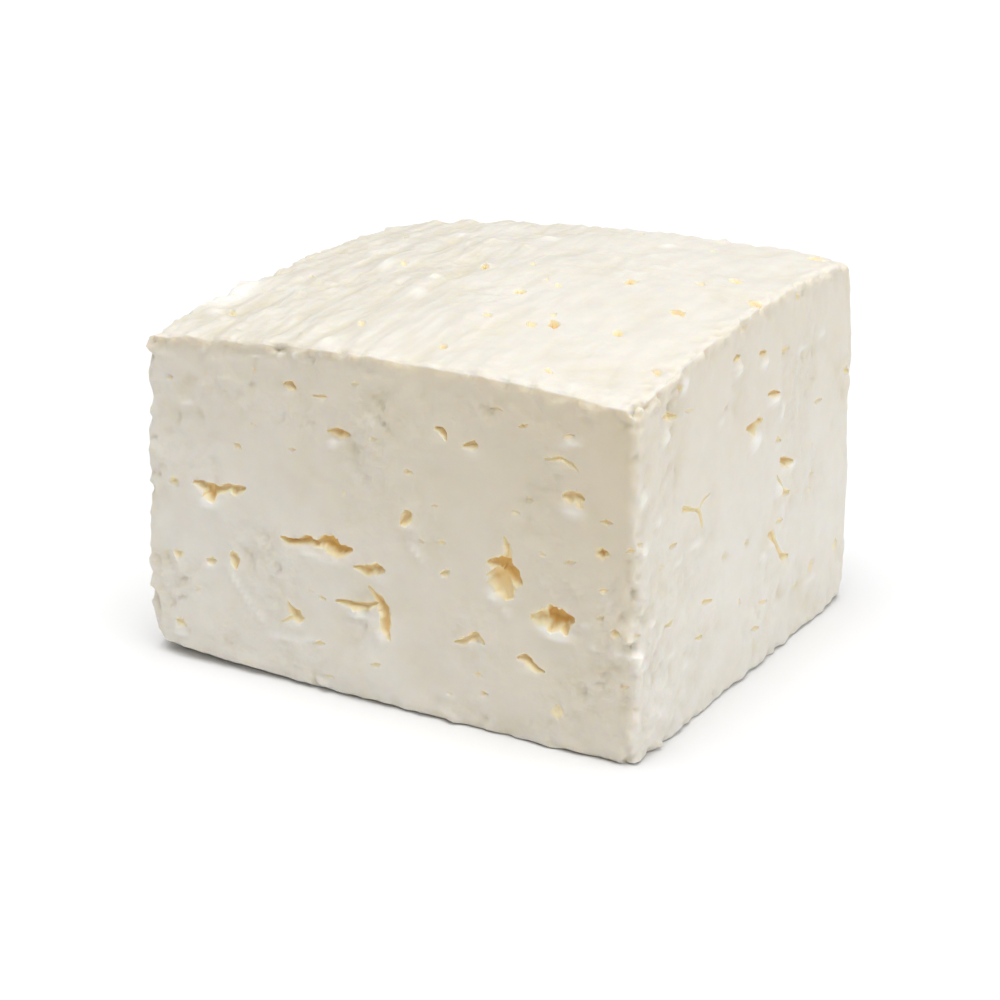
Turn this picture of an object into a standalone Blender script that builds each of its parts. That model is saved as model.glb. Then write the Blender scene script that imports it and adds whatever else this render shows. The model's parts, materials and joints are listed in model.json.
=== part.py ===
"""A block of fresh white cheese, cut on its sides and full of openings between the curds.

Units are metres with +Z up. The origin is the middle of the flat underside, +X runs along the
wide front face and +Y from the front to the back. The block is first made as an upright box with
worn edges, the openings are cut from it, and then it is let down into its leaning, swollen shape.
"""

import collections
import math
import random

import bmesh
import bpy
import numpy as np

MM = 0.001

# The upright block, before it leans
WIDTH = 96 * MM
DEPTH = 83.5 * MM
HEIGHT = 60 * MM
EDGE_RADIUS = 1.5 * MM
FOOT_RADIUS = 2.5 * MM
LEFT_FOOT_RADIUS = 6.5 * MM
CORNER_WEAR = 0.9 * MM
BACK_LEFT_PULL = 3 * MM  # how far in the upright edge at the back left is worn
CELLS_BETWEEN_EDGES = 12
EDGE_ROWS = (0.0, 0.41, 1.0, 2.0)  # distances of the mesh lines from an edge, in edge radii

# How far each corner stands off the upright block (x, y, z), by its side along X and along Y
TOP_CORNERS = {
    (-1, -1): (1.6 * MM, 0.7 * MM, -2.2 * MM),
    (1, -1): (-0.9 * MM, -0.2 * MM, 0.2 * MM),
    (1, 1): (-0.9 * MM, -0.1 * MM, 3.9 * MM),
    (-1, 1): (0.0, -0.1 * MM, -1.0 * MM),
}
FOOT_CORNERS = {
    (-1, -1): (-0.5 * MM, -1.5 * MM, 0.0),
    (1, -1): (-0.5 * MM, 0.3 * MM, 0.0),
    (1, 1): (0.4 * MM, 0.0, 0.0),
    (-1, 1): (0.0, 0.0, 0.0),
}
CROWN_ALONG_X = 2.3 * MM
CROWN_ALONG_Y = 2.2 * MM
CROWN_TO_RIGHT = 1.2 * MM

# Soft waves of the skin out along X, Y and Z: the two axes each runs over, how much shorter the
# second wave is than the first, and where the first begins, in radians
WAVE_HEIGHT = 0.25 * MM
WAVE_LENGTH = 33 * MM
WAVES = ((1, 2, 1.7, 1.0), (0, 2, 1.4, 2.1), (0, 1, 1.2, 0.6))

# How a cutter narrows from outside the skin to the floor of its opening: (depth share, width share)
CUTTER_RINGS = ((-0.45, 1.2), (0.55, 0.8), (1.0, 0.35))
LARGE_OPENING = 3.4 * MM
TIP_SPREAD = 0.22  # how unequal the corners of a gap are, as a share of their reach
TIP_SWING = 0.2  # how far a corner swings from its even place, as a share of the step between two
SIDE_HOLLOW = 0.32  # how far the sides of a gap curve in between its corners
SLIDE_ACROSS = 0.12  # how far the floor of an opening may lie to one side, as a share of its width
SLIDE_UP = 0.18
SEED = 11

Opening = collections.namedtuple("Opening", "face across up long wide turn deep corners")

# The openings of the three faces that meet at the near corner. Lengths are in millimetres from
# the face's lower left corner as seen from outside, the turn in degrees from level.
NEAR_OPENINGS = (
    # A crack on the left of the front, with a deep fork that points down
    Opening("front", 12.0, 33.6, 4.4, 1.0, -12, 1.4, 4),
    Opening("front", 14.3, 32.3, 4.4, 4.0, -90, 3.2, 3),
    Opening("front", 19.0, 33.9, 4.6, 1.6, 4, 2.0, 4),
    # Two serrated cracks in one line, left of the middle
    Opening("front", 32.2, 26.2, 8.0, 1.9, 4, 2.2, 6),
    Opening("front", 39.3, 26.4, 4.8, 3.2, -20, 3.4, 3),
    Opening("front", 42.2, 26.6, 2.6, 1.2, 4, 1.4, 4),
    # Two openings side by side just below them
    Opening("front", 45.3, 23.6, 3.2, 1.7, 10, 1.8, 4),
    Opening("front", 48.1, 24.4, 2.6, 2.2, 0, 2.2, 4),
    # A crack that bends down at its right end
    Opening("front", 42.8, 16.9, 6.8, 1.2, -3, 1.6, 6),
    Opening("front", 48.0, 18.3, 3.6, 2.0, -20, 2.4, 4),
    Opening("front", 49.7, 15.2, 5.0, 2.1, -75, 2.2, 4),
    # The tall star right of the middle, with a thin crack above it
    Opening("front", 72.0, 27.6, 9.0, 7.2, 86, 3.4, 5),
    Opening("front", 72.8, 32.8, 3.8, 1.3, 84, 1.6, 4),
    # The wide star, deepest at its right end
    Opening("front", 80.8, 22.4, 6.8, 5.2, 12, 3.0, 5),
    Opening("front", 83.2, 23.0, 3.8, 2.2, 8, 4.0, 4),
    Opening("front", 78.1, 22.0, 2.6, 2.2, 0, 1.2, 3),
    # Single openings of the front
    Opening("front", 6.2, 33.2, 2.4, 2.4, 60, 1.2, 3),
    Opening("front", 18.7, 20.8, 3.8, 2.4, -70, 1.6, 4),
    Opening("front", 31.2, 13.0, 4.2, 1.8, -42, 2.0, 4),
    Opening("front", 39.8, 46.1, 4.2, 2.8, 0, 2.4, 5),
    Opening("front", 30.0, 53.1, 3.2, 1.6, 6, 1.6, 4),
    Opening("front", 60.1, 49.5, 3.2, 2.0, -32, 1.8, 4),
    Opening("front", 65.7, 48.3, 2.9, 2.1, 18, 2.0, 3),
    Opening("front", 84.4, 43.3, 4.2, 2.8, 10, 1.8, 4),
    Opening("front", 89.6, 35.3, 3.1, 2.5, 10, 2.2, 4),
    Opening("front", 53.4, 33.8, 3.2, 2.6, 75, 2.0, 4),
    Opening("front", 66.9, 16.6, 2.6, 2.0, 20, 1.8, 4),
    Opening("front", 64.6, 14.9, 2.6, 1.3, 8, 1.4, 4),
    Opening("front", 76.2, 14.5, 3.2, 2.0, -30, 1.9, 4),
    Opening("front", 78.3, 13.2, 3.2, 1.1, -18, 1.2, 4),
    Opening("front", 13.8, 19.6, 2.4, 2.0, 0, 1.2, 3),
    Opening("front", 82.2, 6.8, 3.0, 2.8, 0, 0.9, 4),
    # The right face
    Opening("right", 34.0, 54.7, 3.4, 1.4, -20, 1.6, 4),
    Opening("right", 44.8, 52.3, 3.6, 1.8, -15, 1.8, 4),
    Opening("right", 49.0, 45.1, 5.4, 1.5, -18, 1.8, 4),
    Opening("right", 41.6, 41.5, 6.6, 2.2, -4, 2.4, 6),
    Opening("right", 55.3, 32.3, 5.4, 1.8, -15, 2.2, 4),
    Opening("right", 56.5, 26.5, 3.4, 1.5, -15, 1.6, 4),
    Opening("right", 50.4, 20.9, 4.0, 2.2, -18, 1.9, 4),
    Opening("right", 55.2, 16.2, 6.4, 1.5, -24, 1.6, 4),
    Opening("right", 17.2, 37.1, 4.4, 1.3, -22, 1.6, 4),
    Opening("right", 24.9, 18.7, 3.8, 1.6, -12, 1.6, 4),
    Opening("right", 10.6, 54.0, 5.0, 1.5, -15, 1.5, 4),
    # The top
    Opening("top", 70.3, 46.0, 4.6, 2.6, -58, 2.0, 4),
    Opening("top", 55.0, 34.0, 4.4, 2.2, -55, 1.8, 4),
    Opening("top", 68.5, 22.0, 4.0, 2.0, -55, 1.8, 4),
    Opening("top", 80.5, 22.0, 3.8, 2.2, -60, 1.8, 4),
    Opening("top", 85.0, 34.8, 3.6, 2.8, -20, 1.8, 4),
    Opening("top", 86.0, 54.0, 3.6, 2.6, -30, 1.4, 4),
)

# The openings of the faces out of sight: how many on each, and the rule they are drawn by
SCATTERED = (("back", 20), ("left", 17), ("top", 6), ("bottom", 7))
PLACES_TRIED = 14
EDGE_MARGIN = 5.5  # millimetres
SHORTEST = 2.4  # millimetres
LONGEST = 7.6
NARROWEST = 0.35  # width as a share of length
WIDEST = 0.8
SCATTERED_DEPTH = 0.34  # depth as a share of length
USUAL_TURN = 30  # spread of the turn from level, in degrees


def clear_scene():
    for old in list(bpy.data.objects):
        bpy.data.objects.remove(old, do_unlink=True)


def face_frames():
    """Lower left corner, across, up and outward directions of each face of the upright block."""
    x, y, z = WIDTH / 2, DEPTH / 2, HEIGHT
    return {
        "front": ((-x, -y, 0), (1, 0, 0), (0, 0, 1), (0, -1, 0)),
        "right": ((x, -y, 0), (0, 1, 0), (0, 0, 1), (1, 0, 0)),
        "back": ((x, y, 0), (-1, 0, 0), (0, 0, 1), (0, 1, 0)),
        "left": ((-x, y, 0), (0, -1, 0), (0, 0, 1), (-1, 0, 0)),
        "top": ((-x, -y, z), (1, 0, 0), (0, 1, 0), (0, 0, 1)),
        "bottom": ((-x, y, 0), (1, 0, 0), (0, -1, 0), (0, 0, -1)),
    }


def face_size(face):
    """Width and height of a face, in metres."""
    return {
        "front": (WIDTH, HEIGHT),
        "back": (WIDTH, HEIGHT),
        "right": (DEPTH, HEIGHT),
        "left": (DEPTH, HEIGHT),
        "top": (WIDTH, DEPTH),
        "bottom": (WIDTH, DEPTH),
    }[face]


def stations(length):
    """Where the grid lines cross one axis: close together at both edges, even in between."""
    edge = np.array(EDGE_ROWS) * EDGE_RADIUS
    inner = np.linspace(edge[-1], length - edge[-1], CELLS_BETWEEN_EDGES + 1)[1:-1]
    return np.concatenate([edge, inner, length - edge[::-1]]) - length / 2


def round_edges(points):
    """Pull each point of the box in to a rounded edge, wider at the foot and most on its left."""
    half = np.array([WIDTH, DEPTH, HEIGHT]) / 2
    share = points / half
    near_foot = ((1 - share[:, 2]) / 2) ** 8
    to_left = ((1 - share[:, 0]) / 2) ** 3
    foot_radius = FOOT_RADIUS + (LEFT_FOOT_RADIUS - FOOT_RADIUS) * to_left
    radius = (EDGE_RADIUS + (foot_radius - EDGE_RADIUS) * near_foot)[:, None]
    core = np.clip(points, radius - half, half - radius)
    outward = points - core
    distance = np.linalg.norm(outward, axis=1, keepdims=True)
    return core + radius * outward / np.maximum(distance, 1e-12)


def upright_block():
    """The box with worn edges, as a mesh whose underside lies at z = 0."""
    lines = 2 * (len(EDGE_ROWS) - 1) + CELLS_BETWEEN_EDGES
    build = bmesh.new()
    bmesh.ops.create_cube(build, size=2)
    bmesh.ops.subdivide_edges(build, edges=build.edges[:], cuts=lines - 1, use_grid_fill=True)
    cube = np.array([vertex.co for vertex in build.verts])
    index = np.rint((cube + 1) / 2 * lines).astype(int)
    grid = (stations(WIDTH), stations(DEPTH), stations(HEIGHT))
    points = round_edges(np.stack([grid[axis][index[:, axis]] for axis in range(3)], axis=1))
    points[:, 2] += HEIGHT / 2
    for vertex, point in zip(build.verts, points):
        vertex.co = point
    mesh = bpy.data.meshes.new("cheese_block")
    build.to_mesh(mesh)
    build.free()
    return bpy.data.objects.new("cheese_block", mesh)


def gap_outline(opening, draw):
    """Closed outline of a gap between curds: corners that point outwards, hollow sides between."""
    large = opening.long * MM >= LARGE_OPENING
    steps = 3 if large or opening.corners == 3 else 2
    corners = opening.corners
    reach = [1 + TIP_SPREAD * (0.5 - draw.random()) for _ in range(corners)]
    place = [corner + TIP_SWING * draw.uniform(-1, 1) for corner in range(corners)]
    tilt = math.radians(opening.turn)
    outline = []
    for before in range(corners):
        after = (before + 1) % corners
        next_place = place[after] + (corners if after == 0 else 0)
        for step in range(steps):
            part = step / steps
            angle = 2 * math.pi * (place[before] * (1 - part) + next_place * part) / corners
            tip = reach[before] * (1 - part) + reach[after] * part
            radius = tip * (1 - SIDE_HOLLOW * math.sin(math.pi * part)) * MM / 2
            across = opening.long * radius * math.cos(angle)
            up = opening.wide * radius * math.sin(angle)
            outline.append((
                across * math.cos(tilt) - up * math.sin(tilt),
                across * math.sin(tilt) + up * math.cos(tilt),
            ))
    return outline


def opening_cutter(opening, number, draw):
    """A closed plug whose rings follow the gap's outline and shrink to the floor of the opening."""
    corner, across, up, out = (np.array(vector, float) for vector in face_frames()[opening.face])
    middle = corner + across * opening.across * MM + up * opening.up * MM
    outline = gap_outline(opening, draw)
    slide = across * draw.uniform(-SLIDE_ACROSS, SLIDE_ACROSS) + up * draw.uniform(0, SLIDE_UP)
    floor = slide * opening.wide * MM - out * opening.deep * MM
    build = bmesh.new()
    rings = []
    for depth, width in CUTTER_RINGS:
        centre = middle + floor * depth
        rings.append([build.verts.new(centre + (across * a + up * b) * width) for a, b in outline])
    for upper, lower in zip(rings, rings[1:]):
        for here in range(len(outline)):
            there = (here + 1) % len(outline)
            build.faces.new((upper[here], lower[here], lower[there], upper[there]))
    build.faces.new(rings[0])
    build.faces.new(rings[-1])
    bmesh.ops.recalc_face_normals(build, faces=build.faces[:])
    mesh = bpy.data.meshes.new(f"opening_{number}")
    build.to_mesh(mesh)
    build.free()
    cutter = bpy.data.objects.new(f"opening_{number}", mesh)
    cutter.hide_render = True
    cutter.display_type = "WIRE"
    return cutter


def scattered_openings(face, count, draw):
    """Openings in a face out of sight, each at the emptiest of a few random places."""
    width, height = (size / MM for size in face_size(face))
    taken = [(spot.across, spot.up) for spot in NEAR_OPENINGS if spot.face == face]
    if face == "bottom":
        taken.append((width / 2, height / 2))  # the middle of the underside stays whole
    openings = []
    for _ in range(count):
        places = [
            (
                draw.uniform(EDGE_MARGIN, width - EDGE_MARGIN),
                draw.uniform(EDGE_MARGIN, height - EDGE_MARGIN),
            )
            for _ in range(PLACES_TRIED)
        ]
        room = [min((math.dist(place, other) for other in taken), default=0) for place in places]
        place = places[room.index(max(room))]
        taken.append(place)
        long = SHORTEST + (LONGEST - SHORTEST) * draw.random() ** 2.5  # mostly short ones
        wide = long * draw.uniform(NARROWEST, WIDEST)
        corners = draw.choice((3, 4, 4, 5))
        turn = draw.gauss(0, USUAL_TURN)
        openings.append(Opening(face, *place, long, wide, turn, long * SCATTERED_DEPTH, corners))
    return openings


def cut_openings(block):
    """Cut every opening from the upright block and keep the result as its mesh."""
    draw = random.Random(SEED)
    openings = list(NEAR_OPENINGS)
    for face, count in SCATTERED:
        openings += scattered_openings(face, count, draw)
    group = bpy.data.collections.new("openings")
    bpy.context.scene.collection.children.link(group)
    for number, opening in enumerate(openings):
        group.objects.link(opening_cutter(opening, number, draw))
    cut = block.modifiers.new("openings", "BOOLEAN")
    cut.operation = "DIFFERENCE"
    cut.operand_type = "COLLECTION"
    cut.collection = group
    cut.solver = "EXACT"
    bpy.context.view_layer.update()
    graph = bpy.context.evaluated_depsgraph_get()
    mesh = bpy.data.meshes.new_from_object(block.evaluated_get(graph))
    block.modifiers.clear()
    block.data = mesh
    mesh.name = block.name
    for cutter in list(group.objects):
        bpy.data.objects.remove(cutter, do_unlink=True)
    bpy.data.collections.remove(group)


def settle(points):
    """Move points of the upright block to the leaning one, with its crowned top and soft waves.

    The corners are worn in a little, and so is the upright edge at the back left, by a share that
    grows from 0 a few cells away.
    """
    outward = points / np.array([WIDTH / 2, DEPTH / 2, HEIGHT])
    x, y, z = outward.T
    moved = points.copy()
    for side, top in TOP_CORNERS.items():
        share = (1 + side[0] * x) * (1 + side[1] * y) / 4
        foot = FOOT_CORNERS[side]
        for axis in range(3):
            moved[:, axis] += share * (top[axis] * z + foot[axis] * (1 - z))
    crown = CROWN_ALONG_X * (1 - x**2) + CROWN_ALONG_Y * (1 - y**2)
    crown += CROWN_TO_RIGHT * x * (1 - y**2)
    moved[:, 2] += crown * z
    upright = np.stack([x, y, 2 * z - 1], axis=1)
    inward = np.sign(upright)
    inward[:, 2] = np.maximum(inward[:, 2], 0)  # the underside stays flat
    moved -= CORNER_WEAR * np.abs(upright.prod(axis=1, keepdims=True)) ** 10 * inward
    worn = BACK_LEFT_PULL * np.clip(((y - x) / 2 - 0.86) / 0.14, 0, 1) ** 2
    moved[:, 0] += 0.7 * worn
    moved[:, 1] -= 0.7 * worn
    turns = points * 2 * math.pi / WAVE_LENGTH
    for axis, (first, second, shorter, begin) in enumerate(WAVES):
        wave = np.sin(turns[:, first] + begin) * np.sin(shorter * turns[:, second])
        moved[:, axis] += WAVE_HEIGHT * wave * outward[:, axis] ** 3
    return moved


def let_down(block):
    """Split the faces into triangles and move them into the leaning shape."""
    mesh = block.data
    build = bmesh.new()
    build.from_mesh(mesh)
    bmesh.ops.triangulate(build, faces=build.faces[:])
    build.to_mesh(mesh)
    build.free()
    points = np.empty(len(mesh.vertices) * 3)
    mesh.vertices.foreach_get("co", points)
    mesh.vertices.foreach_set("co", settle(points.reshape(-1, 3)).ravel())
    mesh.update()
    mesh.shade_smooth()
    mesh.set_sharp_from_angle(angle=math.radians(28))


def white_cheese():
    """Moist fresh cheese: warm white, with light that goes a little way in."""
    material = bpy.data.materials.new("fresh_white_cheese")
    material.use_nodes = True
    shader = material.node_tree.nodes["Principled BSDF"]
    shader.inputs["Base Color"].default_value = (0.88, 0.83, 0.72, 1)
    shader.inputs["Roughness"].default_value = 0.5
    shader.inputs["Metallic"].default_value = 0.0
    shader.inputs["Subsurface Weight"].default_value = 0.3
    shader.inputs["Subsurface Radius"].default_value = (1.0, 0.7, 0.4)
    shader.inputs["Subsurface Scale"].default_value = 3 * MM
    return material


def main():
    clear_scene()
    block = upright_block()
    bpy.context.scene.collection.objects.link(block)
    cut_openings(block)
    let_down(block)
    block.data.materials.append(white_cheese())


main()
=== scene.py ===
# A block of fresh white cheese with curd openings, on a pale floor. Lengths are in metres, +Z is up.
import itertools
import json
import math
import random

import bpy
import numpy as np
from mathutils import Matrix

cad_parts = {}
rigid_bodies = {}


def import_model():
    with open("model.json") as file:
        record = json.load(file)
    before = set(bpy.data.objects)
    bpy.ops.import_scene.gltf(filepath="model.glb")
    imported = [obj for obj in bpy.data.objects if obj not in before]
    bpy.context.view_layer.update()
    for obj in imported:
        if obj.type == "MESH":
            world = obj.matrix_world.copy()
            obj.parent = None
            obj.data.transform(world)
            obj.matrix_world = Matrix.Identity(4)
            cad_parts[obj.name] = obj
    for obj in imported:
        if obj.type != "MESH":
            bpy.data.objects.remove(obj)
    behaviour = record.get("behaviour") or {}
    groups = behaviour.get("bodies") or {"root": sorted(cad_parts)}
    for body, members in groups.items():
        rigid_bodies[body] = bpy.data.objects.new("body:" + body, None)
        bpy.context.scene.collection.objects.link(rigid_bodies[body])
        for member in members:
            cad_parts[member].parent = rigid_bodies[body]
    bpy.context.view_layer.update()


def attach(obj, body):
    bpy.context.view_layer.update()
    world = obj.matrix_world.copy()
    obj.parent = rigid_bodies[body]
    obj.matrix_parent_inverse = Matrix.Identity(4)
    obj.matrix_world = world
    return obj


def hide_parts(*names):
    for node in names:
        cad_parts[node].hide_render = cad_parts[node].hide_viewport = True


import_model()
scene = bpy.context.scene
mm = 0.001

# The upright block in millimetres, before it leans: the same sizes as the solid it stands for
block = {
    "size": (96.0, 83.5, 60.0),
    "edgeRadius": 1.5,
    "footRadius": 1.3,
    "leftFootRadius": 6.0,
    "cornerWear": 0.9,  # how far each corner is worn in
    "keenCorner": 0.6,  # share of that wear at the near left corner of the top
    "wearPower": 10,  # the higher, the closer to the corner the wear stays
    "backLeftPull": 3.0,  # how far the hidden upright edge at the back left is rounded in
    "backLeftFrom": 0.86,  # from this share of the way out to that edge
    "edgeCell": 0.55,  # side of a mesh face within edgeBand of an edge, and elsewhere
    "edgeBand": 4.0,
    "cell": 0.86,
    "edgeRows": (0.0, 0.3, 0.62, 1.0),  # rows of the bevel, in edge radii from the edge
    # side along x and y: how far the corner stands off (x, y, z)
    "topCorners": {
        (-1, -1): (1.6, 0.7, -2.2),
        (1, -1): (-0.9, -0.2, 0.2),
        (1, 1): (-0.9, -0.1, 3.9),
        (-1, 1): (0.0, -0.1, -1.0),
    },
    "footCorners": {
        (-1, -1): (-0.5, -1.2, 0.0),
        (1, -1): (-0.5, 0.5, 0.0),
        (1, 1): (0.4, 0.0, 0.0),
        (-1, 1): (0.0, 0.0, 0.0),
    },
    "crown": (2.3, 2.2, 1.2),  # swell of the top along x, along y, and more to the right
    "waveHeight": 0.25,
    "waveLength": 33.0,
    # for x, y and z: the two axes that the wave runs along, how much shorter the second is, where it begins
    "waves": ((1, 2, 1.7, 1.0), (0, 2, 1.4, 2.1), (0, 1, 1.2, 0.6)),
    "reliefPower": 9,  # the relief moves each axis by its share to this power
}

# Low relief of the skin: heights and pitches in millimetres
relief = {
    "swells": (0.30, 9.0),
    "lumps": (0.40, 3.4),
    "lumpsLeast": 0.3,  # share of the lumps where the curd was cut smooth
    "smallLumps": (0.26, 1.9),
    "pits": (0.70, 2.6, 0.8),  # depth, pitch, radius
    "curdSeams": (0.26, 6.0),
    "seamWidth": 0.12,  # share of the pitch
    "seamWander": 4.0,  # pitch of the bends in the seams
    "seamFade": (0.6, 11.0),  # how much the seams come and go, and over what distance
    "topStreaks": (0.28, (2.0, 15.0, 5.0)),
    "topFolds": (0.45, (4.2, 19.0, 6.0)),
    "edgeLumps": 3.2,  # pitch
    "edgeCrumbs": 1.5,
    "edgeReach": 1.7,
    "crumbReach": 1.4,  # the crumbs reach this much further in than the lumps
    "calmEdge": (("right", "back"), 0.75, 4.0),  # one edge with lower relief: the share less, and how far
    "leftShare": (0.3, 7),  # the top's streaks fade to this share on the right, and how fast
    "faceReach": 2.2,  # how far from its face a mark can still be felt
    "marks": 2.5,  # all single marks are this much higher than listed
    "topMarks": 0.64,  # and those on the top by this share of it
    "ridges": (0.95, 3.2),  # height and pitch of the short ridges and furrows
    "ridgesLeast": 0.1,  # share of them where the curd was cut smooth
    "ridgeLength": (1.6, 4.2),
    "ridgeWidth": (0.9, 1.5),
    "ridgeTurn": (-45, 34),  # middle and spread
    "lipLump": (0.22, 1.2),  # height and radius of the curd under an opening
    "lipLumpShape": (2.0, 1.2, 0.7),  # in radii: longer than the opening, how wide, how far below it
    "seed": 5,
}

# How uneven each edge is: the two faces that meet there, then the heights of its lumps and crumbs
edges = (
    ("right", "top", 0.36, 0.75),
    ("front", "top", 0.30, 0.30),
    ("left", "top", 0.30, 0.20),
    ("back", "top", 0.30, 0.20),
    ("front", "right", 0.20, 0.40),
    ("front", "left", 0.32, 0.12),
    ("back", "right", 0.15, 0.08),
    ("back", "left", 0.50, 0.30),
    *((side, "bottom", 0.55, 0.30) for side in ("front", "right", "back", "left")),
)

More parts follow.
